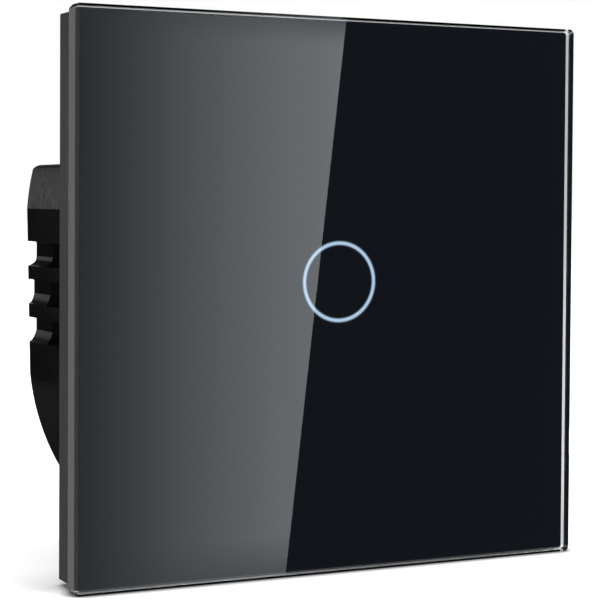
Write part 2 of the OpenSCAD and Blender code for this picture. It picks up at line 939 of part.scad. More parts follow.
module terminal_screw_2() {
  terminal_screw(1);
}

module terminal_screw_3() {
  terminal_screw(2);
}

module terminal_clamp_1() {
  terminal_clamp(0);
}

module terminal_clamp_2() {
  terminal_clamp(1);
}

module terminal_clamp_3() {
  terminal_clamp(2);
}

module relay_base() {
  color([0.1, 0.1, 0.11])
    difference() {
      slab([relay_at[0] - relay_w / 2, power_rear, relay_at[1] - relay_h / 2],
           [relay_at[0] + relay_w / 2, relay_base_rear, relay_at[1] + relay_h / 2]);
      slab([contact_x - contact_r - fit_gap, power_rear - past, relay_at[1] - contact_r - fit_gap],
           [contact_x + contact_r + fit_gap, relay_base_rear + past, relay_at[1] + contact_r + fit_gap]);
    }
}

module relay_cover() {
  half_w = relay_w / 2;
  half_h = relay_h / 2;
  color([0.1, 0.22, 0.45])
    difference() {
      slab([relay_at[0] - half_w, relay_base_rear, relay_at[1] - half_h],
           [relay_at[0] + half_w, relay_top, relay_at[1] + half_h]);
      slab([relay_at[0] - half_w + relay_cover_t, relay_base_rear - past,
            relay_at[1] - half_h + relay_cover_t],
           [relay_at[0] + half_w - relay_cover_t, relay_top - relay_cover_t,
            relay_at[1] + half_h - relay_cover_t]);
    }
}

module relay_bobbin() {
  at = [coil_x, relay_at[1]];
  color([0.85, 0.85, 0.82])
    difference() {
      union() {
        rod(bobbin_r, bobbin_front, bobbin_front + flange_t, at);
        rod(bobbin_hole_r + bobbin_wall, bobbin_front, bobbin_rear, at);
        rod(bobbin_r, bobbin_rear - flange_t, bobbin_rear, at);
      }
      rod(bobbin_hole_r, bobbin_front - past, bobbin_rear + past, at);
    }
}

module relay_coil() {
  color([0.66, 0.35, 0.16])
    ring(coil_r, bobbin_hole_r + bobbin_wall + fit_gap, bobbin_front + flange_t + fit_gap,
         bobbin_rear - flange_t - fit_gap, [coil_x, relay_at[1]]);
}

module relay_core() {
  at = [coil_x, relay_at[1]];
  color([0.6, 0.6, 0.62]) {
    rod(core_r, bobbin_front, bobbin_rear + fit_gap, at);
    rod(pole_r, bobbin_rear, pole_top, at);
  }
}

module relay_yoke() {
  z = relay_at[1];
  color([0.6, 0.6, 0.62]) {
    slab([yoke_left, yoke_front, z - yoke_half_h], [coil_x + bobbin_r, yoke_front + yoke_t, z + yoke_half_h]);
    slab([yoke_left, yoke_front, z - yoke_half_h], [yoke_left + yoke_t, yoke_top, z + yoke_half_h]);
  }
}

module relay_contact() {
  z = relay_at[1];
  top = armature_front - contact_t - contact_gap;
  color([0.8, 0.62, 0.4]) {
    slab([contact_x - contact_post_half, power_rear, z - contact_r],
         [contact_x + contact_post_half, top - contact_t, z + contact_r]);
    rod(contact_r, top - contact_t - fit_gap, top, [contact_x, z]);
  }
}

module relay_armature() {
  z = relay_at[1];
  bead_r = armature_t / 2;
  color([0.6, 0.6, 0.62]) {
    slab([yoke_left + bead_r, armature_front, z - yoke_half_h],
         [armature_end, armature_front + armature_t, z + yoke_half_h]);
    translate([yoke_left + bead_r, armature_front + bead_r, z - yoke_half_h])
      cylinder(r = bead_r, h = 2 * yoke_half_h);
  }
}

module relay_blade() {
  z = relay_at[1];
  rear = armature_front + armature_t;
  color([0.8, 0.62, 0.4]) {
    slab([coil_x, rear, z - blade_half_h], [contact_x + blade_past, rear + blade_t, z + blade_half_h]);
    rod(contact_r, armature_front - contact_t, rear + fit_gap, [contact_x, z]);
  }
}

glass_panel();
back_print();
ring_window();
panel_tape();
panel_frame();
mounting_plate();
rear_housing();
housing_screws();
touch_board();
board_screws();
light_guide();
ring_leds();
touch_pad();
touch_chip();
link_header();
link_pins();
link_socket();
power_board();
supply_chip();
film_capacitor();
main_capacitor();
transformer_core();
transformer_coil();
fuse_resistor();
varistor();
bridge_rectifier();
terminal_block();
terminal_contacts();
terminal_screw_1();
terminal_screw_2();
terminal_screw_3();
terminal_clamp_1();
terminal_clamp_2();
terminal_clamp_3();
relay_base();
relay_cover();
relay_bobbin();
relay_coil();
relay_core();
relay_yoke();
relay_contact();
relay_armature();
relay_blade();
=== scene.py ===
"""The looks of a touch light switch: a bevelled glass panel with a lit ring, on a base for a wall box."""

import json
import math

import bmesh
import bpy
from mathutils import Matrix, Vector


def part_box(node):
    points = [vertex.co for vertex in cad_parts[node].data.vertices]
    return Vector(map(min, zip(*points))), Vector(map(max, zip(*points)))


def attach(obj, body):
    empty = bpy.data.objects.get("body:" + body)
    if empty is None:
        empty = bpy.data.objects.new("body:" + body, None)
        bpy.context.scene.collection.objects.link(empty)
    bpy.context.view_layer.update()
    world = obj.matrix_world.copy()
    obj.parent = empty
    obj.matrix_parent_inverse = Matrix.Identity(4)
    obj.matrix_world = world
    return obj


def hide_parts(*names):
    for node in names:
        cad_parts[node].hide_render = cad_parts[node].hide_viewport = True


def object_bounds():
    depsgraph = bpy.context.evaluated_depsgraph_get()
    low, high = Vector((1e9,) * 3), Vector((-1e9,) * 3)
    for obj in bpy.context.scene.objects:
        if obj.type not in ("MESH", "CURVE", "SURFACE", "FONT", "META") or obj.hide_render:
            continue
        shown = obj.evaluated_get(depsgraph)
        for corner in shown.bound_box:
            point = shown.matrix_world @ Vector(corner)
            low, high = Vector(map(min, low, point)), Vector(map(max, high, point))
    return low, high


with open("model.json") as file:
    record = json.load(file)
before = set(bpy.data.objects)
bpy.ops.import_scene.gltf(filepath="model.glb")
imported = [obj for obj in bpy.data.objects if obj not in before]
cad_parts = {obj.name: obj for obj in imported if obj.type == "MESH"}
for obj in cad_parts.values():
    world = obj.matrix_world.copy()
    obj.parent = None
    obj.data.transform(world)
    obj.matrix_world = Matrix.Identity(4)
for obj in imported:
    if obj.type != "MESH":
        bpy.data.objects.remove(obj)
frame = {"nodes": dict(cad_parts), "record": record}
cad_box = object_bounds()
solids = frame["nodes"]
scene = bpy.context.scene
scene.view_settings.view_transform = "Standard"

MM = 0.001
WHITE = (1.0, 1.0, 1.0, 1.0)
BLACK = (0.0, 0.0, 0.0, 1.0)
BOX_LOW, BOX_HIGH = cad_box


class Value:
    """What a node gives out, so that a mask or a tone is written as a sum."""

    def __init__(self, nodes, socket):
        self.nodes = nodes
        self.socket = socket

    def out(self, name):
        return Value(self.nodes, self.socket.node.outputs[name])

    def sum(self, operation, first, second=0.0):
        return self.nodes.add("ShaderNodeMath", {"operation": operation}, {0: first, 1: second})

    def __add__(self, other):
        return self.sum("ADD", self, other)

    def __radd__(self, other):
        return self.sum("ADD", other, self)

    def __sub__(self, other):
        return self.sum("SUBTRACT", self, other)

    def __rsub__(self, other):
        return self.sum("SUBTRACT", other, self)

    def __mul__(self, other):
        return self.sum("MULTIPLY", self, other)

    def __rmul__(self, other):
        return self.sum("MULTIPLY", other, self)

    def __truediv__(self, other):
        return self.sum("DIVIDE", self, other)

    def __gt__(self, other):
        return self.sum("GREATER_THAN", self, other)

    def __lt__(self, other):
        return self.sum("LESS_THAN", self, other)

    def __abs__(self):
        return self.sum("ABSOLUTE", self)

    def most(self, other):
        return self.sum("MAXIMUM", self, other)

    def root(self):
        return self.sum("SQRT", self)


class Nodes:
    """The node tree of a finish, of the stage's light, or of a rule that makes a shape."""

    def __init__(self, tree):
        self.tree = tree

    def add(self, kind, settings=None, sockets=None, output=0):
        node = self.tree.nodes.new(kind)
        for name, value in (settings or {}).items():
            if name == "stops":
                self.set_stops(node.color_ramp, value)
            else:
                setattr(node, name, value)
        for name, value in (sockets or {}).items():
            self.feed(node.inputs[name], value)
        return Value(self, node.outputs[output]) if len(node.outputs) else None

    def feed(self, socket, value):
        if isinstance(value, Value):
            self.tree.links.new(value.socket, socket)
        else:
            socket.default_value = value

    def set_stops(self, ramp, stops):
        while len(ramp.elements) < len(stops):
            ramp.elements.new(1.0)
        for element, (place, tone) in zip(ramp.elements, stops):
            element.position = place
            element.color = (tone, tone, tone, 1.0)

    def rescale(self, value, low, high, to_low=0.0, to_high=1.0):
        return self.add("ShaderNodeMapRange", {"clamp": True}, {
            "Value": value, "From Min": low, "From Max": high, "To Min": to_low, "To Max": to_high})

    def mix(self, share, first, second):
        return self.add("ShaderNodeMix", {"data_type": "RGBA"}, {0: share, 6: first, 7: second}, output=2)

    def axes(self, place):
        parts = self.add("ShaderNodeSeparateXYZ", sockets={"Vector": place})
        return parts.out("X"), parts.out("Y"), parts.out("Z")


class Finish(Nodes):
    """A procedural finish that follows a piece's own coordinates, in metres."""

    def __init__(self, name, **constants):
        self.material = bpy.data.materials.new(name)
        self.material.use_nodes = True
        super().__init__(self.material.node_tree)
        self.tree.nodes.clear()
        self.place = self.add("ShaderNodeTexCoord", output="Object")
        self.surface = self.add("ShaderNodeBsdfPrincipled")
        self.add("ShaderNodeOutputMaterial", sockets={"Surface": self.surface})
        for socket, value in constants.items():
            self.surface.socket.node.inputs[socket.replace("_", " ")].default_value = value

    def wear(self, **sockets):
        """Feeds the shader what changes over the surface."""
        for socket, value in sockets.items():
            self.feed(self.surface.socket.node.inputs[socket.replace("_", " ")], value)
        return self

    def grain(self, size, detail=2.0, stretch=(1.0, 1.0, 1.0)):
        place = self.add("ShaderNodeMapping", sockets={"Vector": self.place, "Scale": stretch})
        return self.add("ShaderNodeTexNoise", sockets={"Vector": place, "Scale": 1 / size, "Detail": detail})

    def relief(self, height, depth):
        return self.add("ShaderNodeBump", sockets={"Height": height, "Distance": depth, "Strength": 1.0})


class Rule(Nodes):
    """A shape that follows a rule: a geometry tree with named sizes, which gives one plain mesh."""

    def __init__(self, name, sizes):
        super().__init__(bpy.data.node_groups.new(name, "GeometryNodeTree"))
        sockets = self.tree.interface
        sockets.new_socket("Geometry", in_out="OUTPUT", socket_type="NodeSocketGeometry")
        sockets.new_socket("Geometry", in_out="INPUT", socket_type="NodeSocketGeometry")
        for size in sizes:
            sockets.new_socket(size, in_out="INPUT", socket_type="NodeSocketFloat")
        self.given = self.add("NodeGroupInput")

    def sizes(self, *names):
        return [self.given.out(name) for name in names]

    def vector(self, x=0.0, y=0.0, z=0.0):
        return self.add("ShaderNodeCombineXYZ", sockets={"X": x, "Y": y, "Z": z})

    def moved(self, geometry, **sockets):
        return self.add("GeometryNodeTransform", sockets={"Geometry": geometry, **sockets})

    def joined(self, *parts):
        whole = self.add("GeometryNodeJoinGeometry")
        for part in parts:
            self.tree.links.new(part.socket, whole.socket.node.inputs[0])
        return whole

    def at_points(self, shape, turn=(0.0, 0.0, 0.0)):
        """Puts the shape at each point that the rule is given, and ends the tree."""
        copies = self.add("GeometryNodeInstanceOnPoints", sockets={
            "Points": self.given.out("Geometry"), "Instance": shape, "Rotation": turn})
        whole = self.add("GeometryNodeRealizeInstances", sockets={"Geometry": copies})
        dressed = self.add("GeometryNodeSetMaterial", sockets={"Geometry": whole})
        self.add("NodeGroupOutput", sockets={"Geometry": dressed})
        self.coat = dressed.socket.node.inputs["Material"]
        return self

    def made(self, name, points, finish, **sizes):
        """The plain mesh that the rule gives at these points."""
        self.coat.default_value = finish.material
        mesh = bpy.data.meshes.new(name)
        mesh.from_pydata(points, [], [])
        piece = bpy.data.objects.new(name, mesh)
        scene.collection.objects.link(piece)
        rule = piece.modifiers.new(name, "NODES")
        rule.node_group = self.tree
        for socket in self.tree.interface.items_tree:
            if socket.in_out == "INPUT" and socket.name in sizes:
                rule[socket.identifier] = sizes[socket.name]
        return shaded(plain_mesh(piece))


def tone(colour, share):
    """A colour made lighter or darker, with full cover."""
    return tuple(min(1.0, part * share) for part in colour) + (1.0,)


def new_piece(name, mesh, body, finish=None, stands_for=()):
    """A finished piece: it rides on its body, and takes the place of the plain solids it stands for."""
    piece = bpy.data.objects.new(name, mesh)
    scene.collection.objects.link(piece)
    if finish:
        mesh.materials.clear()
        mesh.materials.append(finish.material)
    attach(piece, body)
    if stands_for:
        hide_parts(*stands_for)
    return piece


# The stage: a white floor and backdrop, soft light, and cards that only reflections see

PHOTO_SIDE = 600
SENSOR = 36.0
LENS_IN_PIXELS = 1831.169
LENS_SHIFT = -0.075
LENS_NEAREST = 10 * MM
CAMERA_TURN = math.radians(26.06366)
CAMERA_NOD = math.radians(1.77318)
CAMERA_LEAN = math.radians(0.35229)
GLASS_FROM_CAMERA = Vector((6.26447, 6.33966, 282.86385)) * MM
GLASS_FRONT = BOX_LOW.y


def photo_camera():
    """The photograph's viewpoint, from the lines of the square glass."""
    quarter = math.radians(90)
    to_view = (Matrix.Rotation(CAMERA_LEAN, 3, "Z") @ Matrix.Rotation(quarter + CAMERA_NOD, 3, "X")
               @ Matrix.Rotation(CAMERA_TURN, 3, "Z"))
    lens = bpy.data.cameras.new("photo_camera")
    lens.sensor_width = SENSOR
    lens.lens = LENS_IN_PIXELS * SENSOR / PHOTO_SIDE
    lens.shift_y = LENS_SHIFT
    lens.clip_start = LENS_NEAREST
    camera = bpy.data.objects.new("photo_camera", lens)
    scene.collection.objects.link(camera)
    stand = to_view.transposed() @ -GLASS_FROM_CAMERA + Vector((0, GLASS_FRONT, 0))
    turn = to_view.transposed() @ Matrix.Rotation(2 * quarter, 3, "X")
    camera.matrix_world = Matrix.Translation(stand) @ turn.to_4x4()
    scene.camera = camera


def seen_directly(nodes):
    """One for what the lens sees straight, in a mirror or through glass."""
    straight = nodes.add("ShaderNodeLightPath", output="Is Camera Ray")
    return straight.most(straight.out("Is Glossy Ray")).most(straight.out("Is Transmission Ray"))


AMBIENT = 0.8


def white_surroundings():
    """A white backdrop to look at, which lights the object a little less."""
    world = bpy.data.worlds.new("white_studio")
    world.use_nodes = True
    scene.world = world
    nodes = Nodes(world.node_tree)
    world.node_tree.nodes.clear()
    seen = seen_directly(nodes)
    light = nodes.add("ShaderNodeBackground", sockets={
        "Color": WHITE, "Strength": seen + AMBIENT * (1 - seen)})
    nodes.add("ShaderNodeOutputWorld", sockets={"Surface": light})


def stage_material(name):
    """A bare material, and its nodes."""
    material = bpy.data.materials.new(name)
    material.use_nodes = True
    material.node_tree.nodes.clear()
    return material, Nodes(material.node_tree)


def stage_sheet(name, corners, material):
    """A flat sheet of the stage, with its corners in millimetres."""
    mesh = bpy.data.meshes.new(name)
    mesh.from_pydata([Vector(corner) * MM for corner in corners], [], [range(len(corners))])
    mesh.materials.append(material)
    sheet = bpy.data.objects.new(name, mesh)
    scene.collection.objects.link(sheet)
    return sheet


def level_corners(left, right, front, rear, height):
    """The corners of a level sheet."""
    return [(left, front, height), (right, front, height), (right, rear, height), (left, rear, height)]


def upright_corners(left, right, low, high, depth):
    """The corners of an upright sheet across the view."""
    return [(left, depth, low), (right, depth, low), (right, depth, high), (left, depth, high)]


def side_corners(front, rear, low, high, across):
    """The corners of an upright sheet at one side."""
    return [(across, front, low), (across, rear, low), (across, rear, high), (across, front, high)]


def only_in_reflections(sheet):
    """Hides a sheet from all but mirrored rays."""
    sheet.visible_camera = False
    sheet.visible_diffuse = False
    sheet.visible_transmission = False
    sheet.visible_shadow = False


FLOOR = BOX_LOW.z / MM
FLOOR_REACH = 4000
FLOOR_LIFT = 0.5
SHADE_SAMPLES = 12
# The floor's painted shade: at the foot of what stands on it, and behind the panel
FOOT_SHADE = 0.85
FOOT_SHADE_REACH = 2.5 * MM
FOOT_SHADE_FULL = 0.45
SIDE_SHADE = 0.34
SIDE_SHADE_REACH = 15 * MM
SIDE_SHADE_FULL = 0.6
SIDE_SHADE_START = (-9 * MM, -2 * MM)
SIDE_SHADE_END = (20 * MM, 4 * MM)


def closed_in(nodes, reach, full, shade):
    """How much painted shade the floor gets where something stands within this reach of it."""
    sky = nodes.add("ShaderNodeAmbientOcclusion", {"samples": SHADE_SAMPLES}, {"Distance": reach}, "AO")
    return nodes.rescale(sky, 1.0, full, 0.0, shade)


def white_floor():
    """White paper, with painted shade in the narrow gap under whatever stands on it and behind the panel,
    which only the lens sees.
    """
    material, nodes = stage_material("white_floor")
    seen = seen_directly(nodes)
    foot = closed_in(nodes, FOOT_SHADE_REACH, FOOT_SHADE_FULL, FOOT_SHADE)
    _, depth, _ = nodes.axes(nodes.add("ShaderNodeTexCoord", output="Object"))
    # Painted shadow behind the panel: within this band of depth, the floor darkens where the panel and
    # housing stand close
    behind = nodes.rescale(depth, *SIDE_SHADE_START) * nodes.rescale(depth, *SIDE_SHADE_END)
    behind = behind * closed_in(nodes, SIDE_SHADE_REACH, SIDE_SHADE_FULL, SIDE_SHADE)
    straight = nodes.add("ShaderNodeLightPath", output="Is Camera Ray")
    # Painted shade: what the lens sees straight is darkened by the larger of the two shades
    paper_under_painted_shade = 1 - straight * foot.most(behind)
    matt = nodes.add("ShaderNodeBsdfDiffuse", sockets={"Color": nodes.mix(paper_under_painted_shade, BLACK, WHITE)})
    lift = nodes.add("ShaderNodeEmission", sockets={
        "Color": nodes.mix(seen * paper_under_painted_shade, BLACK, tone(WHITE[:3], FLOOR_LIFT)), "Strength": 1.0})
    both = nodes.add("ShaderNodeAddShader", sockets={0: matt, 1: lift})
    nodes.add("ShaderNodeOutputMaterial", sockets={"Surface": both})
    corners = level_corners(-FLOOR_REACH, FLOOR_REACH, -FLOOR_REACH, FLOOR_REACH, FLOOR)
    stage_sheet("floor", corners, material).visible_glossy = False


CARD_DISTANCE = 400
CARD_Y = GLASS_FRONT / MM - CARD_DISTANCE
CARD_TINT = (0.92, 1.0, 1.04, 1.0)
CARD_LEVEL = 4.0
CARD_STOPS = [(0.0, 0.129), (0.10, 0.195), (0.21, 0.286), (0.36, 0.437), (0.52, 0.584), (0.67, 0.718),
              (0.75, 0.80), (0.83, 0.838), (1.0, 0.963)]
CARD_LEFT = -40
CARD_LOW = -200
CARD_HIGH = 150
CARD_EDGE_LOW = 175.5
CARD_EDGE_HIGH = 216.0
CARD_GRADE = (98, 207)
CARD_ENDS = ((76, 88), (-118, -134))
CARD_END_FADE = 0.6
ROOM_DARK = (0.038, 0.045, 0.063, 1.0)
ROOM_BEHIND_CARD = 20
CEILING_STOPS = [(0.0, 0.0), (0.25, 0.03), (1.0, 0.19)]
CEILING_LEFT = -60
CEILING_EDGE = 107
CEILING_GRADE = (60, CEILING_EDGE)
CEILING_Z = 250
CEILING_FRONT = -100
CEILING_REAR = 150
GREY_CARD = 0.65
DIM_CARD = 0.02
SIDE_CARD_LIT = (24, 31)
SIDE_CARD_FADE = (40, 84)
SIDE_CARD_END = 0.06
UNDER_FLOOR = FLOOR - 0.3


def glow(nodes, colour, level):
    """Ends a stage material in plain light."""
    light = nodes.add("ShaderNodeEmission", sockets={"Color": colour, "Strength": level})
    nodes.add("ShaderNodeOutputMaterial", sockets={"Surface": light})


def graded_card(name, corners, stops, grade, ends=(), shade=BLACK):
    """A card that only reflections see, dim at its left and bright at its right, faded towards its ends."""
    material, nodes = stage_material(name)
    across, _, up = nodes.axes(nodes.add("ShaderNodeTexCoord", output="Object"))
    left, right = grade
    share = nodes.rescale(across, left * MM, right * MM)
    level = nodes.add("ShaderNodeValToRGB", {"stops": stops}, {"Fac": share})
    for start, end in ends:
        level = level * (1 - share * CARD_END_FADE * nodes.rescale(up, start * MM, end * MM))
    glow(nodes, nodes.mix(level, shade, CARD_TINT), CARD_LEVEL)
    only_in_reflections(stage_sheet(name, corners, material))


def softboxes():
    """The card that the left of the glass mirrors, up to its slanted edge, and the one over the top bevel."""
    slanted = [(CARD_LEFT, CARD_Y, CARD_LOW), (CARD_EDGE_LOW, CARD_Y, CARD_LOW),
               (CARD_EDGE_HIGH, CARD_Y, CARD_HIGH), (CARD_LEFT, CARD_Y, CARD_HIGH)]
    graded_card("softbox", slanted, CARD_STOPS, CARD_GRADE, CARD_ENDS, ROOM_DARK)
    overhead = level_corners(CEILING_LEFT, CEILING_EDGE, CEILING_FRONT, CEILING_REAR, CEILING_Z)
    graded_card("ceiling", overhead, CEILING_STOPS, CEILING_GRADE)


def side_card():
    """The card that the housing's left side mirrors: black for its flats, lit for its curves, then faded."""
    material, nodes = stage_material("side_card")
    _, _, up = nodes.axes(nodes.add("ShaderNodeTexCoord", output="Object"))
    (dark, lit), (fade, end) = SIDE_CARD_LIT, SIDE_CARD_FADE
    rising = nodes.rescale(up, dark * MM, lit * MM)
    level = rising * nodes.rescale(up, fade * MM, end * MM, GREY_CARD, SIDE_CARD_END)
    glow(nodes, nodes.mix(level, BLACK, WHITE), 1.0)
    corners = upright_corners(left=-167, right=-60, low=-300, high=500, depth=398)
    only_in_reflections(stage_sheet("side_card", corners, material))


def flat_card(name, level, colour=WHITE):
    """A card that glows evenly."""
    material, nodes = stage_material(name)
    glow(nodes, colour, level)
    return material


def black_card():
    """A card that gives no light back."""
    material, nodes = stage_material("black_flag")
    matt = nodes.add("ShaderNodeBsdfDiffuse", sockets={"Color": BLACK})
    nodes.add("ShaderNodeOutputMaterial", sockets={"Surface": matt})
    return material


def flags():
    """Black and grey cards: they keep the glass's right and bevels and the housing's flat side dark."""
    black = black_card()
    grey = flat_card("grey_card", GREY_CARD)
    dim = flat_card("dim_card", DIM_CARD)
    room = flat_card("room_card", CARD_LEVEL, ROOM_DARK)
    under_glass = [(x, y, UNDER_FLOOR) for x, y in (
        (-43, GLASS_FRONT / MM), (140, GLASS_FRONT / MM), (140, 250), (-112, 250), (-43, 30))]
    for name, material, corners in (
        ("flag_front", room, upright_corners(left=150, right=900, low=-600, high=600,
                                             depth=CARD_Y - ROOM_BEHIND_CARD)),
        ("flag_right", black, side_corners(front=-60, rear=300, low=FLOOR, high=300, across=180)),
        ("flag_above", black, level_corners(left=CEILING_EDGE, right=400, front=CEILING_FRONT,
                                            rear=CEILING_REAR, height=CEILING_Z)),
        ("flag_below", black, under_glass),
        ("flag_left", black, side_corners(front=85, rear=118, low=FLOOR, high=16.2, across=-65)),
        ("card_left", grey, upright_corners(left=-700, right=-60, low=-300, high=500, depth=400)),
        ("card_rear", dim, upright_corners(left=-300, right=300, low=88, high=600, depth=390)),
    ):
        only_in_reflections(stage_sheet(name, corners, material))


KEY_PLACE = Vector((350, -500, 600)) * MM
KEY_SIZE = 500 * MM
KEY_POWER = 4.0


def key_lamp():
    """One large soft lamp, up at the right, aimed at the wall plane's middle."""
    lamp = bpy.data.lights.new("key_lamp", "AREA")
    lamp.shape = "SQUARE"
    lamp.size = KEY_SIZE
    lamp.energy = KEY_POWER
    light = bpy.data.objects.new("key_lamp", lamp)
    light.location = KEY_PLACE
    light.rotation_euler = (-KEY_PLACE).to_track_quat("-Z", "Y").to_euler()
    scene.collection.objects.link(light)


photo_camera()
white_surroundings()
white_floor()
softboxes()
flags()
side_card()
key_lamp()


# Finishes

GRAIN_MIDDLE = 0.5
GLASS_CLEAR = (0.97, 0.985, 0.98)
ARRIS_GREY = (0.27, 0.285, 0.295)
ARRIS_SKIN = 0.02 * MM
ARRIS_ROUGH = 0.25
ARRIS_SCRATCH = 0.2
POLISH_SCRATCH = 0.006
SCRATCH_SIZE = 0.15 * MM
FRONT_TINT = 0.02
FRONT_SKIN = 0.01 * MM
TINT_LEFT = -42.4 * MM
TINT_RIGHT = 41.2 * MM
TINT_TOP = 42.1 * MM
TINT_BOTTOM = -42.32 * MM


def polished_glass():
    """Clear glass with a ground arris at its rear, left clear along the bottom as painted light, and a dark
    front that keeps its reflections clean.
    """
    finish = Finish("clear_glass", Transmission_Weight=1.0, IOR=1.5)
    across, depth, up = finish.axes(finish.place)
    ground = depth > GLASS_REAR - GLASS_ARRIS + ARRIS_SKIN
    front = (depth < GLASS_FRONT + FRONT_SKIN) * (across > TINT_LEFT) * (across < TINT_RIGHT)
    front = front * (up < TINT_TOP) * (up > TINT_BOTTOM)
    scratch = finish.grain(SCRATCH_SIZE, detail=4.0)
    clear = finish.mix(front, tone(GLASS_CLEAR, 1.0), tone((1.0, 1.0, 1.0), FRONT_TINT))
    # Painted light: the ground arris is left clear along the bottom, so that the bottom edge shows a brighter
    # line
    frosted = finish.mix(up < TINT_BOTTOM, tone(ARRIS_GREY, 1.0), tone(GLASS_CLEAR, 1.0))
    return finish.wear(Base_Color=finish.mix(ground, clear, frosted),
                       Roughness=ground * (ARRIS_ROUGH + ARRIS_SCRATCH * scratch) + POLISH_SCRATCH * scratch)


PRINT_BLACK = (0.0021, 0.0024, 0.0034)
PRINT_CLOUD = 0.06
PRINT_CLOUD_SIZE = 25 * MM
PRINT_DOT = 0.3 * MM
PRINT_ROUGH = 0.5
PRINT_DOT_ROUGH = 0.2
RING_BLUE = (0.50, 0.68, 0.88)
RING_MIDDLE_LEVEL = 0.95
RING_EDGE_BLUE = (0.16, 0.28, 0.42, 1.0)
RING_EDGE = (0.06 * MM, 0.3 * MM)
RING_EDGE_SHARE = 0.6
RING_MOTTLE_SHARE = 0.3
RING_MOTTLE = 0.6 * MM
RING_UNLIT = (0.05, 0.06, 0.08, 1.0)
RING_ROUGH = 0.5
RING_POWER = FRONT_TINT ** -0.5
HALO_LEVEL = 0.34
HALO_EDGE = (0.52 * MM, 0.24 * MM)


def from_ring_line(finish):
    """Distance from the middle of the ring's line."""
    across, _, up = finish.axes(finish.place)
    across = across - RING_CENTRE.x
    up = up - RING_CENTRE.z
    return abs((across * across + up * up).root() - RING_MIDDLE_R)


def screen_print():
    """Black ceramic print, seen through the glass, with a faint halo of the ring's light."""
    finish = Finish("black_print", Specular_IOR_Level=0.0, Emission_Strength=RING_POWER)
    dots = finish.grain(PRINT_DOT, detail=1.0)
    cloud = finish.grain(PRINT_CLOUD_SIZE)
    halo = finish.rescale(from_ring_line(finish), *HALO_EDGE)
    dark = tone(PRINT_BLACK, 1 - PRINT_CLOUD)
    light = tone(PRINT_BLACK, 1 + PRINT_CLOUD)
    return finish.wear(Base_Color=finish.mix(cloud, dark, light),
                       Roughness=PRINT_ROUGH + PRINT_DOT_ROUGH * dots,
                       Emission_Color=finish.mix(halo * halo, BLACK, tone(RING_BLUE, HALO_LEVEL)))


def lit_ring():
    """The translucent ring, brightest along the middle of its line."""
    finish = Finish("lit_ring", Base_Color=RING_UNLIT, Roughness=RING_ROUGH, Emission_Strength=RING_POWER)
    edge = finish.rescale(from_ring_line(finish), *RING_EDGE)
    mottle = finish.grain(RING_MOTTLE)
    fade = edge * (RING_EDGE_SHARE + RING_MOTTLE_SHARE * mottle)
    return finish.wear(Emission_Color=finish.mix(fade, tone(RING_BLUE, RING_MIDDLE_LEVEL), RING_EDGE_BLUE))


PATCH_SIZE = 11 * MM


def moulded(name, colour, roughness, grain_size=0.3 * MM, grain_depth=0.006 * MM, cloud=0.12, gloss=0.12,
            **constants):
    """Moulded plastic: a fine eroded grain, a slightly cloudy tone and small changes of gloss."""
    finish = Finish(name, **constants)
    grain = finish.grain(grain_size, detail=3.0)
    patch = finish.grain(PATCH_SIZE, detail=3.0)
    return finish.wear(Base_Color=finish.mix(patch, tone(colour, 1 - cloud), tone(colour, 1 + cloud)),
                       Roughness=roughness + gloss * (grain - GRAIN_MIDDLE) + gloss * (patch - GRAIN_MIDDLE),
                       Normal=finish.relief(grain, grain_depth))


DRAWN = (1.0, 12.0, 1.0)
CAST = (1.0, 1.0, 1.0)
STREAK_SIZE = 0.25 * MM
STREAK_DEPTH = 0.002 * MM
STREAK_ROUGH = 0.18
DULL_PATCH_SIZE = 2.5 * MM
DULL_PATCH_ROUGH = 0.12
DULL_METAL = 0.85
BRIGHT_METAL = 1.08


def plated(name, colour, roughness, stretch=DRAWN):
    """Plated or bare metal with drawn streaks and dulled patches."""
    finish = Finish(name, Metallic=1.0)
    streak = finish.grain(STREAK_SIZE, detail=3.0, stretch=stretch)
    patch = finish.grain(DULL_PATCH_SIZE, detail=3.0)
    uneven = STREAK_ROUGH * (streak - GRAIN_MIDDLE) + DULL_PATCH_ROUGH * (patch - GRAIN_MIDDLE)
    return finish.wear(Base_Color=finish.mix(patch, tone(colour, DULL_METAL), tone(colour, BRIGHT_METAL)),
                       Roughness=roughness + uneven, Normal=finish.relief(streak, STREAK_DEPTH))


HOUSING_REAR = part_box("rear_housing")[1].y
REAR_SKIN = 0.1 * MM
FLAT_TOP = 13.06 * MM
FLAT_BOTTOM = -14.63 * MM
UNDERSIDE_BLEND = 2 * MM
HOUSING_BLACK = (0.0052, 0.0052, 0.0054)
HOUSING_SMEARED = tone(HOUSING_BLACK, 1.6)
HOUSING_PITTED = tone(HOUSING_BLACK, 0.5)
HOUSING_ERODED = tone(HOUSING_BLACK, 2.8)
# Painted light: the paler black of the housing's underside
PAINTED_LIGHT_UNDERSIDE = tone(HOUSING_BLACK, 3.2)
HOUSING_REAR_BLACK = tone(HOUSING_BLACK, 3.5)
HOUSING_GLOSS = 0.35
GROOVE_GLOSS = 0.055
SMOOTH_ROUGH = 0.13
ERODED_ROUGH = 0.32
SPECK_ROUGH = 0.3
SMEAR_ROUGH = 0.06
SPARK_GRAIN = 0.28 * MM
SPARK_SPECK = 1.1 * MM
SPARK_PITS = (0.64, 0.38)
SPARK_DEPTH = 0.003 * MM
SMOOTH_RELIEF = 0.06
SPECK_RELIEF = 6
SMEAR_SIZE = 7 * MM
SMEAR_STRETCH = (1.0, 0.6, 1.4)
SMEAR_SHARE = 0.35
REAR_SHARE = 0.4


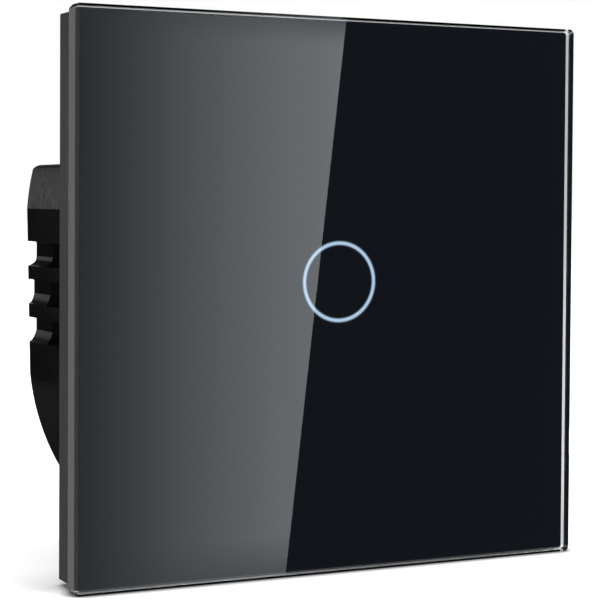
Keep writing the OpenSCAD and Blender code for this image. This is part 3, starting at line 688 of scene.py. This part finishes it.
def housing_plastic(name, gloss):
    """The housing's black: smooth on its sides below the upper crease, eroded elsewhere, with painted light
    that makes its underside paler.
    """
    finish = Finish(name, Specular_IOR_Level=gloss)
    _, depth, up = finish.axes(finish.place)
    rear = depth > HOUSING_REAR - REAR_SKIN
    flat = (1 - rear) * (up < FLAT_TOP)
    matt = 1 - flat
    grain = finish.grain(SPARK_GRAIN, detail=3.0)
    speck = finish.grain(SPARK_SPECK, detail=5.0)
    smear = finish.grain(SMEAR_SIZE, detail=3.0, stretch=SMEAR_STRETCH)
    eroded = finish.mix(finish.rescale(speck, *SPARK_PITS), HOUSING_PITTED, HOUSING_ERODED)
    eroded = finish.mix(rear * (REAR_SHARE + (1 - REAR_SHARE) * speck), eroded, HOUSING_REAR_BLACK)
    # Painted light: paler towards the underside, below the lower crease
    painted_light_below = finish.rescale(up, FLAT_BOTTOM, FLAT_BOTTOM - UNDERSIDE_BLEND)
    plain = finish.mix(painted_light_below, tone(HOUSING_BLACK, 1.0), PAINTED_LIGHT_UNDERSIDE)
    tint = finish.mix(flat, eroded, plain)
    rough = matt * (ERODED_ROUGH + SPECK_ROUGH * (speck - GRAIN_MIDDLE))
    return finish.wear(Base_Color=finish.mix(smear * SMEAR_SHARE, tint, HOUSING_SMEARED),
                       Roughness=SMOOTH_ROUGH + rough + SMEAR_ROUGH * (smear - GRAIN_MIDDLE),
                       Normal=finish.relief(grain * (SMOOTH_RELIEF + matt) + SPECK_RELIEF * speck * matt,
                                            SPARK_DEPTH))


BOARD_FLAT = (1.0, 0.0, 1.0)
TRACK_CELL = 3.4 * MM
TRACK_WANDER = 0.75
TRACK_PITCH = 0.12
TRACK_EDGE = (0.035, 0.05)
TRACK_RISE = 0.03 * MM
TRACK_TONE = 1.7
GROUND_TONE = 0.9
WEAVE_SIZE = 0.5 * MM
WEAVE_STRETCH = (1.0, 0.2, 1.0)
WEAVE_TONE = 1.3
WEAVE_SHARE = 0.25
WEAVE_ROUGH = 0.1
MASK_ROUGH = 0.34


def circuit_board(name, colour):
    """Solder mask over copper tracks: paler, slightly raised lines on a dark green ground."""
    finish = Finish(name)
    place = finish.add("ShaderNodeMapping", sockets={"Vector": finish.place, "Scale": BOARD_FLAT})
    cells = finish.add("ShaderNodeTexVoronoi", {"distance": "CHEBYCHEV", "feature": "F1"},
                       {"Vector": place, "Scale": 1 / TRACK_CELL, "Randomness": TRACK_WANDER})
    rings = finish.add("ShaderNodeMath", {"operation": "PINGPONG"}, {0: cells, 1: TRACK_PITCH})
    gap = finish.rescale(rings, *TRACK_EDGE)
    weave = finish.grain(WEAVE_SIZE, stretch=WEAVE_STRETCH)
    tint = finish.mix(gap, tone(colour, TRACK_TONE), tone(colour, GROUND_TONE))
    return finish.wear(Base_Color=finish.mix(weave * WEAVE_SHARE, tint, tone(colour, WEAVE_TONE)),
                       Roughness=MASK_ROUGH + WEAVE_ROUGH * (weave - GRAIN_MIDDLE),
                       Normal=finish.relief(1 - gap, TRACK_RISE))


TIN = (0.63, 0.64, 0.65)
CHIP_BLACK = (0.014, 0.014, 0.015)
CHIP_BODY = 4 * MM
CHIP_GRAIN = 0.12 * MM
CHIP_MATT = 0.55
CHIP_ROUGH = 0.5
LEAD_ROUGH = 0.3
LEAD_MOTTLE = 0.3 * MM
LEAD_MOTTLE_ROUGH = 0.15


def chip_package(name, node):
    """A moulded chip with tinned leads along its upper and lower edge."""
    finish = moulded(name, CHIP_BLACK, CHIP_MATT, CHIP_GRAIN)
    _, _, up = finish.axes(finish.place)
    low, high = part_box(node)
    lead = abs(up - (low.z + high.z) / 2) > CHIP_BODY / 2
    mottle = finish.grain(LEAD_MOTTLE)
    rough = CHIP_ROUGH - (CHIP_ROUGH - LEAD_ROUGH) * lead
    return finish.wear(Base_Color=finish.mix(lead, tone(CHIP_BLACK, 1.0), tone(TIN, 1.0)), Metallic=lead,
                       Roughness=rough + LEAD_MOTTLE_ROUGH * (mottle - GRAIN_MIDDLE))


SLEEVE_BLUE = (0.014, 0.022, 0.055)
SLEEVE_STRIPE = (0.45, 0.47, 0.50, 1.0)
SLEEVE_ROUGH = 0.26
STRIPE_WIDTH = 0.9 * MM
SCUFF_SIZE = 0.8 * MM
SCUFF_ROUGH = 0.16
CAN_END = 0.15 * MM
CAN_TONE = 1.1


def capacitor_sleeve():
    """A shrink sleeve with one pale stripe, and the bare can at its end."""
    finish = moulded("sleeve_blue", SLEEVE_BLUE, SLEEVE_ROUGH)
    across, deep, _ = finish.axes(finish.place)
    low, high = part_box("main_capacitor")
    stripe = across < low.x + STRIPE_WIDTH
    can = deep > high.y - CAN_END
    scuff = finish.grain(SCUFF_SIZE, detail=3.0)
    tint = finish.mix(stripe, tone(SLEEVE_BLUE, 1.0), SLEEVE_STRIPE)
    return finish.wear(Base_Color=finish.mix(can, tint, tone(TIN, CAN_TONE)), Metallic=can,
                       Roughness=SLEEVE_ROUGH + SCUFF_ROUGH * scuff)


RESISTOR_BLUE = (0.10, 0.22, 0.32)
RESISTOR_ROUGH = 0.40
RESISTOR_BODY = 9.5 * MM
BAND_WIDTH = 0.8 * MM
BAND_PLACES = [place * MM for place in (-3.2, -1.6, 0.0, 2.8)]
BAND_COLOURS = ((0.20, 0.06, 0.02), (0.01, 0.01, 0.01), (0.01, 0.01, 0.01), (0.42, 0.28, 0.05))


def banded_resistor():
    """A lacquered resistor with plain colour bands and tinned leads."""
    finish = moulded("resistor_blue", RESISTOR_BLUE, RESISTOR_ROUGH)
    across, _, _ = finish.axes(finish.place)
    low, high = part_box("fuse_resistor")
    middle = (low.x + high.x) / 2
    tint = tone(RESISTOR_BLUE, 1.0)
    for place, colour in zip(BAND_PLACES, BAND_COLOURS):
        band = abs(across - (middle + place)) < BAND_WIDTH / 2
        tint = finish.mix(band, tint, tone(colour, 1.0))
    lead = abs(across - middle) > RESISTOR_BODY / 2
    return finish.wear(Base_Color=finish.mix(lead, tint, tone(TIN, 1.0)), Metallic=lead)


LED_WHITE = (0.78, 0.77, 0.73)
LED_ROUGH = 0.45
LED_LIGHT = (0.62, 0.80, 1.0, 1.0)
LED_WINDOW = 0.05 * MM


def led_package():
    """White packages with a lit window on their face."""
    finish = moulded("led_white", LED_WHITE, LED_ROUGH, Emission_Strength=1.0)
    _, deep, _ = finish.axes(finish.place)
    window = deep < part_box("ring_leds")[0].y + LED_WINDOW
    return finish.wear(Emission_Color=finish.mix(window, BLACK, LED_LIGHT))


GUIDE_CLEAR = (0.93, 0.96, 0.98, 1.0)
FROST_SIZE = 0.4 * MM
FROST_DEPTH = 0.004 * MM
GUIDE_ROUGH = 0.16
FROST_ROUGH = 0.2


def light_guide_acrylic():
    """Clear acrylic with a frosted grain, which spreads the light."""
    finish = Finish("clear_guide", Base_Color=GUIDE_CLEAR, Transmission_Weight=0.85, IOR=1.49)
    frost = finish.grain(FROST_SIZE, detail=3.0)
    return finish.wear(Roughness=GUIDE_ROUGH + FROST_ROUGH * frost, Normal=finish.relief(frost, FROST_DEPTH))


# Shapes

GLASS_WIDTH = BOX_HIGH.x - BOX_LOW.x
GLASS_BEVEL = 0.4 * MM
GLASS_CORNER = 0.6 * MM
GLASS_FRONT_CORNER = 0.06 * MM
GLASS_ARRIS = 0.3 * MM
PRINT_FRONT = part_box("back_print")[0].y
PRINT_BITE = 0.02 * MM
GLASS_REAR = PRINT_FRONT + PRINT_BITE
RING_LOW, RING_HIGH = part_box("ring_window")
RING_CENTRE = (RING_LOW + RING_HIGH) / 2
RING_LINE_HALF = 0.25 * MM
RING_MIDDLE_R = (RING_HIGH.x - RING_LOW.x) / 2 - RING_LINE_HALF


def cut_square(width, corner, depth):
    """A square outline with cut corners."""
    half = width / 2
    short = half - corner
    return [Vector((x, depth, z)) for x, z in (
        (-short, -half), (short, -half), (half, -short), (half, short),
        (short, half), (-short, half), (-half, short), (-half, -short))]


def bevelled_glass():
    """The glass sheet: front, mitred bevel, polished sides and a ground arris at the rear."""
    stations = [
        (GLASS_WIDTH - 2 * GLASS_BEVEL, GLASS_FRONT_CORNER, GLASS_FRONT),
        (GLASS_WIDTH, GLASS_CORNER, GLASS_FRONT + GLASS_BEVEL),
        (GLASS_WIDTH, GLASS_CORNER, GLASS_REAR - GLASS_ARRIS),
        (GLASS_WIDTH - 2 * GLASS_ARRIS, GLASS_CORNER, GLASS_REAR),
    ]
    shape = bmesh.new()
    rings = [[shape.verts.new(point) for point in cut_square(*station)] for station in stations]
    for front, rear in zip(rings, rings[1:]):
        for here in range(len(front)):
            after = (here + 1) % len(front)
            shape.faces.new((front[here], front[after], rear[after], rear[here]))
    shape.faces.new(rings[0])
    shape.faces.new(rings[-1])
    bmesh.ops.recalc_face_normals(shape, faces=shape.faces)
    mesh = bpy.data.meshes.new("glass")
    shape.to_mesh(mesh)
    shape.free()
    return mesh


SHARP = math.radians(35)
SAME_FACE = math.radians(0.4)
SAME_POINT = 0.0005 * MM
CREASE_REACH = 0.12 * MM


def plain_mesh(piece):
    """The mesh that a piece's modifiers give, without them."""
    made = bpy.data.meshes.new_from_object(piece.evaluated_get(bpy.context.evaluated_depsgraph_get()))
    bpy.data.objects.remove(piece)
    return made


def shaded(mesh):
    """Smooth shading, but for the sharp edges."""
    mesh.polygons.foreach_set("use_smooth", [True] * len(mesh.polygons))
    mesh.set_sharp_from_angle(angle=SHARP)
    return mesh


def flats_kept_flat(mesh):
    """Smooth shading in which the large faces outweigh their rounded edges."""
    piece = bpy.data.objects.new(mesh.name, mesh)
    scene.collection.objects.link(piece)
    weighting = piece.modifiers.new("flats", "WEIGHTED_NORMAL")
    weighting.keep_sharp = True
    return plain_mesh(piece)


def softened(node, edge, steps=2, creases=()):
    """A copy of a solid with its sharp edges rounded off, and the creases at these heights kept crisp."""
    shape = bmesh.new()
    shape.from_mesh(solids[node].data)
    bmesh.ops.remove_doubles(shape, verts=shape.verts, dist=SAME_POINT)
    bmesh.ops.dissolve_limit(shape, angle_limit=SAME_FACE, verts=shape.verts, edges=shape.edges)
    hard = [line for line in shape.edges if line.is_manifold and line.calc_face_angle() > SHARP]
    bmesh.ops.bevel(shape, geom=hard, offset=edge, segments=steps, profile=0.5, affect="EDGES",
                    clamp_overlap=True)
    mesh = bpy.data.meshes.new(node)
    shape.to_mesh(mesh)
    shape.free()
    shaded(mesh)
    for line in mesh.edges:
        ends = [mesh.vertices[end].co for end in line.vertices]
        if any(max(abs(end.z - height) for end in ends) < CREASE_REACH for height in creases):
            line.use_edge_sharp = True
    return flats_kept_flat(mesh)


# Every slot of the record and its finish: the colour, then the roughness
finishes = {
    "clear_glass": polished_glass(),
    "black_print": screen_print(),
    "lit_ring": lit_ring(),
    "black_tape": moulded("black_tape", (0.012, 0.012, 0.012), 0.85, grain_size=0.5 * MM,
                          grain_depth=0.03 * MM),
    "frame_black": moulded("frame_black", (0.0165, 0.0165, 0.017), 0.48, grain_size=0.22 * MM,
                           grain_depth=0.005 * MM, Specular_IOR_Level=0.24),
    "plate_black": moulded("plate_black", (0.016, 0.016, 0.017), 0.48),
    "housing_black": housing_plastic("housing_black", HOUSING_GLOSS),
    "screw_steel": plated("screw_steel", (0.60, 0.61, 0.62), 0.30),
    "board_green": circuit_board("board_green", (0.012, 0.065, 0.030)),
    "clear_guide": light_guide_acrylic(),
    "white_plastic": moulded("white_plastic", (0.74, 0.73, 0.69), 0.45),
    "foam_grey": moulded("foam_grey", (0.035, 0.035, 0.037), 0.95, grain_size=0.35 * MM,
                         grain_depth=0.12 * MM, cloud=0.3),
    "chip_black": moulded("chip_black", CHIP_BLACK, CHIP_MATT, CHIP_GRAIN),
    "contact_brass": plated("contact_brass", (0.71, 0.52, 0.24), 0.32),
    "film_yellow": moulded("film_yellow", (0.56, 0.37, 0.035), 0.30),
    "sleeve_blue": capacitor_sleeve(),
    "ferrite_grey": moulded("ferrite_grey", (0.035, 0.035, 0.038), 0.70, grain_size=0.5 * MM,
                            grain_depth=0.03 * MM, cloud=0.3),
    "coil_tape": moulded("coil_tape", (0.55, 0.38, 0.04), 0.25),
    "resistor_blue": banded_resistor(),
    "disc_blue": moulded("disc_blue", (0.02, 0.08, 0.26), 0.25),
    "block_black": moulded("block_black", (0.012, 0.012, 0.013), 0.50),
    "terminal_steel": plated("terminal_steel", (0.62, 0.63, 0.64), 0.32),
    "clamp_steel": plated("clamp_steel", (0.58, 0.57, 0.53), 0.36),
    "cover_blue": moulded("cover_blue", (0.018, 0.075, 0.22), 0.33),
    "coil_copper": plated("coil_copper", (0.62, 0.27, 0.10), 0.30),
    "soft_iron": plated("soft_iron", (0.42, 0.42, 0.43), 0.42),
}

# Finishes that a few nodes have for themselves, and those of pieces that only the scene has
special = {
    "touch_chip": chip_package("touch_chip_black", "touch_chip"),
    "supply_chip": chip_package("supply_chip_black", "supply_chip"),
    "ring_leds": led_package(),
}
tin_solder = plated("tin_solder", TIN, 0.36, CAST)
groove_black = housing_plastic("groove_black", GROOVE_GLOSS)

slot_of = {part["node"]: part["material_slot"] for part in frame["record"]["subparts"]}
for node, solid in solids.items():
    solid.data.materials.clear()
    solid.data.materials.append(special.get(node, finishes[slot_of[node]]).material)


def dress(name, mesh, node, body):
    """A finished piece in place of one plain solid."""
    return new_piece(name, mesh, body, finishes[slot_of[node]], (node,))


# Rules for what repeats or is wound

FACING_FRONT = (math.radians(90), 0.0, 0.0)
FACING_REAR = (math.radians(-90), 0.0, 0.0)
SCREW_SIZES = ("Head Radius", "Head Height", "Thread Radius", "Thread Depth", "Length", "Pitch", "Slot Width",
               "Slot Depth", "Crown")
HEAD_SIDES = 40
HEAD_RINGS = 5
HEAD_TOP = 0.9
CORE_SIDES = 24
THREAD_SIDES = 4
THREAD_STEPS = 20
WIRE_SIDES = 6
WIRE_STEPS = 28
SOLDER_SIDES = 16
SOLDER_RINGS = 3
VIA_SIDES = 10
VIA_LINE_SIDES = 4


def helix(rule, radius, turns, height, steps):
    """A coil of this height that stands on its foot, with its normals kept level."""
    coil = rule.add("GeometryNodeCurveSpiral", sockets={
        "Resolution": steps, "Rotations": turns, "Start Radius": radius, "End Radius": radius,
        "Height": height})
    return rule.add("GeometryNodeSetCurveNormal", {"mode": "Z_UP"}, {"Curve": coil})


def circle(rule, radius, sides):
    """A round path or section."""
    return rule.add("GeometryNodeCurvePrimitiveCircle", sockets={"Resolution": sides, "Radius": radius})


def swept(rule, path, radius, sides):
    """A round bar along a path."""
    return rule.add("GeometryNodeCurveToMesh", sockets={
        "Curve": path, "Profile Curve": circle(rule, radius, sides), "Fill Caps": True})


def slotted_screw(turn):
    """Slotted pan-head screws with a rolled thread, seated at each point."""
    rule = Rule("slotted_screw", SCREW_SIZES)
    sizes = rule.sizes(*SCREW_SIZES)
    head_r, head_h, thread_r, thread_depth, length, pitch, slot_w, slot_depth, crown = sizes
    blank = rule.add("GeometryNodeMeshCylinder", {"fill_type": "TRIANGLE_FAN"}, {
        "Vertices": HEAD_SIDES, "Fill Segments": HEAD_RINGS, "Radius": head_r, "Depth": head_h})
    blank = rule.moved(blank, Translation=rule.vector(z=head_h / 2))
    across, along, up = rule.axes(rule.add("GeometryNodeInputPosition"))
    fall = crown * (across * across + along * along) / (head_r * head_r)
    crowned = rule.add("GeometryNodeSetPosition", sockets={
        "Geometry": blank, "Selection": up > HEAD_TOP * head_h, "Offset": rule.vector(z=0.0 - fall)})
    slot = rule.add("GeometryNodeMeshCube", sockets={"Size": rule.vector(3 * head_r, slot_w, 2 * slot_depth)})
    slot = rule.moved(slot, Translation=rule.vector(z=head_h))
    head = rule.add("GeometryNodeMeshBoolean", {"operation": "DIFFERENCE"}, {
        "Mesh 1": crowned, "Mesh 2": slot})
    core_r = thread_r - thread_depth
    core = rule.add("GeometryNodeMeshCylinder", sockets={
        "Vertices": CORE_SIDES, "Radius": core_r, "Depth": length})
    core = rule.moved(core, Translation=rule.vector(z=0.0 - length / 2))
    path = helix(rule, core_r, length / pitch - 2.0, length - 2 * pitch, THREAD_STEPS)
    ridge = swept(rule, path, thread_depth, THREAD_SIDES)
    ridge = rule.moved(ridge, Translation=rule.vector(z=pitch - length))
    return rule.at_points(rule.joined(head, core, ridge), turn)


def winding():
    """Enamelled wire wound in one close layer over the bobbin's core."""
    rule = Rule("winding", ("Radius", "Length", "Wire"))
    radius, length, wire = rule.sizes("Radius", "Length", "Wire")
    path = helix(rule, radius - wire / 2, length / wire - 1.0, length - wire, WIRE_STEPS)
    strand = swept(rule, path, wire / 2, WIRE_SIDES)
    return rule.at_points(rule.moved(strand, Translation=rule.vector(z=wire / 2)), FACING_REAR)


def solder_cone():
    """Solder drawn up round a pin, at each point."""
    rule = Rule("solder_cone", ("Foot Radius", "Top Radius", "Height"))
    foot_r, top_r, height = rule.sizes("Foot Radius", "Top Radius", "Height")
    cone = rule.add("GeometryNodeMeshCone", sockets={
        "Vertices": SOLDER_SIDES, "Side Segments": SOLDER_RINGS, "Radius Top": top_r, "Radius Bottom": foot_r,
        "Depth": height})
    return rule.at_points(cone, FACING_FRONT)


def via_ring():
    """A tinned ring round a plated hole, at each point."""
    rule = Rule("via_ring", ("Radius", "Line"))
    radius, line = rule.sizes("Radius", "Line")
    ring = rule.add("GeometryNodeCurveToMesh", sockets={
        "Curve": circle(rule, radius, VIA_SIDES), "Profile Curve": circle(rule, line, VIA_LINE_SIDES)})
    return rule.at_points(ring, FACING_FRONT)


def small_block():
    """A small block that sits on a board, at each point."""
    rule = Rule("small_block", ("Width", "Height", "Rise"))
    width, height, rise = rule.sizes("Width", "Height", "Rise")
    block = rule.add("GeometryNodeMeshCube", sockets={"Size": rule.vector(width, height, rise)})
    return rule.at_points(rule.moved(block, Translation=rule.vector(z=rise / 2)), FACING_FRONT)


# Sizes and places of the pieces

PANEL_EDGE = 0.15 * MM
PLATE_EDGE = 0.15 * MM
HOUSING_EDGE = 0.18 * MM
HOUSING_SCREW = {"Head Radius": 2.7 * MM, "Head Height": 1.8 * MM, "Thread Radius": 1.45 * MM,
                 "Thread Depth": 0.32 * MM, "Length": 10 * MM, "Pitch": 1.05 * MM,
                 "Slot Width": 0.7 * MM, "Slot Depth": 0.9 * MM, "Crown": 0.5 * MM}
BOARD_SCREW = {"Head Radius": 1.8 * MM, "Head Height": 1.1 * MM, "Thread Radius": 0.95 * MM,
               "Thread Depth": 0.2 * MM, "Length": 3.2 * MM, "Pitch": 0.6 * MM,
               "Slot Width": 0.7 * MM, "Slot Depth": 0.55 * MM, "Crown": 0.3 * MM}
CLAMP_SCREW = {"Head Radius": 1.9 * MM, "Head Height": 2.2 * MM, "Thread Radius": 1.25 * MM,
               "Thread Depth": 0.22 * MM, "Length": 8.4 * MM, "Pitch": 0.45 * MM,
               "Slot Width": 0.7 * MM, "Slot Depth": 0.9 * MM, "Crown": 0.25 * MM}
LOWER_SCREW_X = 18.5 * MM
WIRE = 0.24 * MM
BOARD_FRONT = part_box("touch_board")[0].y
LINK_PINS = 5
LINK_PITCH = 2.54 * MM
LINK_Z = (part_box("link_pins")[0].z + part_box("link_pins")[1].z) / 2
LINK_SOLDER = {"Foot Radius": 0.85 * MM, "Top Radius": 0.4 * MM, "Height": 0.45 * MM}
PART_WIDTH = 0.9 * MM
PART_END = 0.35 * MM
PART_HEIGHT = 0.8 * MM
PART_RISE = 0.4 * MM
PARTS_LYING = [(x * MM, z * MM) for x, z in (
    (-19, -9.5), (-19, -12), (-19, -14.5), (-14, -7.5), (-11, -7.5), (-9, -11), (-9, -13.5),
    (9.5, 10.5), (-8.5, 3), (8.5, -6.5), (16, -9), (16, -11.5), (16, -14), (-15, 15), (-12, 15), (14, 16))]
VIA = {"Radius": 0.3 * MM, "Line": 0.09 * MM}
VIA_STEP = 3.1 * MM
VIA_COLUMNS = range(-7, 8)
VIA_ROWS = range(-6, 7)
RING_CLEAR = 9.5 * MM
SCREW_CLEAR = 3.4 * MM
PART_CLEAR = 1.6 * MM
CHIP_CLEAR = 4.2 * MM
LINK_CLEAR = 7.0 * MM


def via_points():
    """Every third place of a lattice on the touch board, clear of its parts."""
    chip = sum(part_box("touch_chip"), Vector()) / 2
    taken = [(RING_CENTRE.x, RING_CENTRE.z, RING_CLEAR), (chip.x, chip.z, CHIP_CLEAR)]
    taken += [(0.0, LINK_Z, LINK_CLEAR)]
    taken += [(x, z, SCREW_CLEAR) for x, _, z in board_screw_seats()]
    taken += [(x, z, PART_CLEAR) for x, z in PARTS_LYING]
    places = [(column, row) for column in VIA_COLUMNS for row in VIA_ROWS if (column + 2 * row) % 3 == 0]
    spots = [(column * VIA_STEP, row * VIA_STEP) for column, row in places]
    return [(x, BOARD_FRONT, z) for x, z in spots
            if all(math.hypot(x - at_x, z - at_z) > reach for at_x, at_z, reach in taken)]


def housing_screw_seats():
    """Where the four housing screws' heads sit on the plate."""
    low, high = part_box("housing_screws")
    rim = HOUSING_SCREW["Head Radius"]
    seat = low.y + HOUSING_SCREW["Head Height"]
    return ([(x, seat, high.z - rim) for x in (low.x + rim, high.x - rim)]
            + [(x, seat, low.z + rim) for x in (-LOWER_SCREW_X, LOWER_SCREW_X)])


def board_screw_seats():
    """Where the four small screws' heads sit on the touch board."""
    low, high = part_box("board_screws")
    rim = BOARD_SCREW["Head Radius"]
    return [(x, BOARD_FRONT, z) for x in (low.x + rim, high.x - rim) for z in (low.z + rim, high.z - rim)]


def clamp_screw_seat(node):
    """Where a clamp screw's head begins."""
    low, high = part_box(node)
    return [((low.x + high.x) / 2, high.y - CLAMP_SCREW["Head Height"], (low.z + high.z) / 2)]


# Each groove: the screw behind it, its floor, and its lower lip's reach, rise, lean and bend
GROOVES = (("terminal_screw_1", -34.35 * MM, 1.15 * MM, 1.95 * MM, math.radians(19), 0.82),
           ("terminal_screw_2", -34.75 * MM, 0.9 * MM, 1.75 * MM, math.radians(15.5), 0.82),
           ("terminal_screw_3", -34.35 * MM, 1.4 * MM, 1.6 * MM, math.radians(12), 0.55))
GROOVE_HALF = 2.05 * MM
GROOVE_FRONT = 26.45 * MM
GROOVE_SLOPE = 0.55 * MM
GROOVE_CORNER = 0.5 * MM
GROOVE_SUNK = 0.1 * MM
ROUND_STEPS = 14


def bent(start, middle, end):
    """A curve that leaves its start towards the middle point, and meets its end from there."""
    shares = [step / ROUND_STEPS for step in range(ROUND_STEPS + 1)]
    return [tuple((1 - share) ** 2 * a + 2 * share * (1 - share) * b + share ** 2 * c
                  for a, b, c in zip(start, middle, end)) for share in shares]


def lower_lip(floor, edge, reach, rise, lean, bend):
    """The section of a groove's lower lip: a leaning flat, then a curve out to the edge, closed behind."""
    foot = rise - GROOVE_SLOPE
    fall = GROOVE_SLOPE + bend * foot
    curve = bent((floor - GROOVE_SLOPE * math.tan(lean), edge + foot),
                 (floor - fall * math.tan(lean), edge + rise - fall), (floor - reach, edge))
    inside = floor + GROOVE_SUNK
    return [(floor, edge + rise)] + curve + [
        (floor - reach, edge - GROOVE_SUNK), (inside, edge - GROOVE_SUNK), (inside, edge + rise)]


def upper_corner(floor, edge):
    """The section of a groove's tight upper corner, closed behind."""
    curve = bent((floor, edge - GROOVE_CORNER), (floor, edge), (floor - GROOVE_CORNER, edge))
    inside = floor + GROOVE_SUNK
    return curve + [(floor - GROOVE_CORNER, edge + GROOVE_SUNK), (inside, edge + GROOVE_SUNK),
                    (inside, edge - GROOVE_CORNER)]


def groove_roundings():
    """The wire grooves' floors where they leave the flat: a long lower lip, and a tight upper corner."""
    shape = bmesh.new()
    rear = HOUSING_REAR - GROOVE_SUNK
    for node, floor, *lip in GROOVES:
        middle = clamp_screw_seat(node)[0][2]
        for section in (lower_lip(floor, middle - GROOVE_HALF, *lip),
                        upper_corner(floor, middle + GROOVE_HALF)):
            ends = [[shape.verts.new((x, depth, z)) for x, z in section] for depth in (GROOVE_FRONT, rear)]
            for here in range(len(section)):
                after = (here + 1) % len(section)
                shape.faces.new((ends[0][here], ends[0][after], ends[1][after], ends[1][here]))
            for end in ends:
                shape.faces.new(end)
    bmesh.ops.recalc_face_normals(shape, faces=shape.faces)
    mesh = bpy.data.meshes.new("groove_roundings")
    shape.to_mesh(mesh)
    shape.free()
    return shaded(mesh)


def winding_start():
    """The middle of the coil's front end."""
    low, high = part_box("relay_coil")
    return [((low.x + high.x) / 2, low.y, (low.z + high.z) / 2)]


# The pieces

dress("glass", bevelled_glass(), "glass_panel", "panel")
dress("frame", softened("panel_frame", PANEL_EDGE), "panel_frame", "panel")
dress("plate", softened("mounting_plate", PLATE_EDGE), "mounting_plate", "base")
housing = softened("rear_housing", HOUSING_EDGE, creases=(FLAT_TOP, FLAT_BOTTOM))
dress("housing", housing, "rear_housing", "base")
new_piece("groove_roundings", groove_roundings(), "base", groove_black)

front_screw = slotted_screw(FACING_FRONT)
rear_screw = slotted_screw(FACING_REAR)
dress("housing_fixings", front_screw.made("housing_fixings", housing_screw_seats(), finishes["screw_steel"],
                                          **HOUSING_SCREW), "housing_screws", "base")
dress("board_fixings", front_screw.made("board_fixings", board_screw_seats(), finishes["screw_steel"],
                                        **BOARD_SCREW), "board_screws", "base")
for number in (1, 2, 3):
    node = f"terminal_screw_{number}"
    screw = rear_screw.made(f"clamp_screw_{number}", clamp_screw_seat(node), finishes["terminal_steel"],
                            **CLAMP_SCREW)
    dress(f"clamp_screw_{number}", screw, node, f"screw_{number}")

coil_low, coil_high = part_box("relay_coil")
coil = winding().made("relay_winding", winding_start(), finishes["coil_copper"], Wire=WIRE,
                      Radius=(coil_high.x - coil_low.x) / 2, Length=coil_high.y - coil_low.y)
dress("relay_winding", coil, "relay_coil", "base")

pin_points = [((pin - LINK_PINS // 2) * LINK_PITCH, BOARD_FRONT, LINK_Z) for pin in range(LINK_PINS)]
cones = solder_cone().made("link_solder", pin_points, tin_solder, **LINK_SOLDER)
new_piece("link_solder", cones, "base", tin_solder)
vias = via_ring().made("board_vias", via_points(), tin_solder, **VIA)
new_piece("board_vias", vias, "base", tin_solder)

block = small_block()
bodies = block.made("small_parts", [(x, BOARD_FRONT, z) for x, z in PARTS_LYING], finishes["chip_black"],
                    Width=PART_WIDTH, Height=PART_HEIGHT, Rise=PART_RISE)
new_piece("small_parts", bodies, "base", finishes["chip_black"])
end_step = (PART_WIDTH + PART_END) / 2
end_points = [(x + side * end_step, BOARD_FRONT, z) for x, z in PARTS_LYING for side in (-1, 1)]
ends = block.made("small_part_ends", end_points, tin_solder,
                  Width=PART_END, Height=PART_HEIGHT, Rise=PART_RISE)
new_piece("small_part_ends", ends, "base", tin_solder)
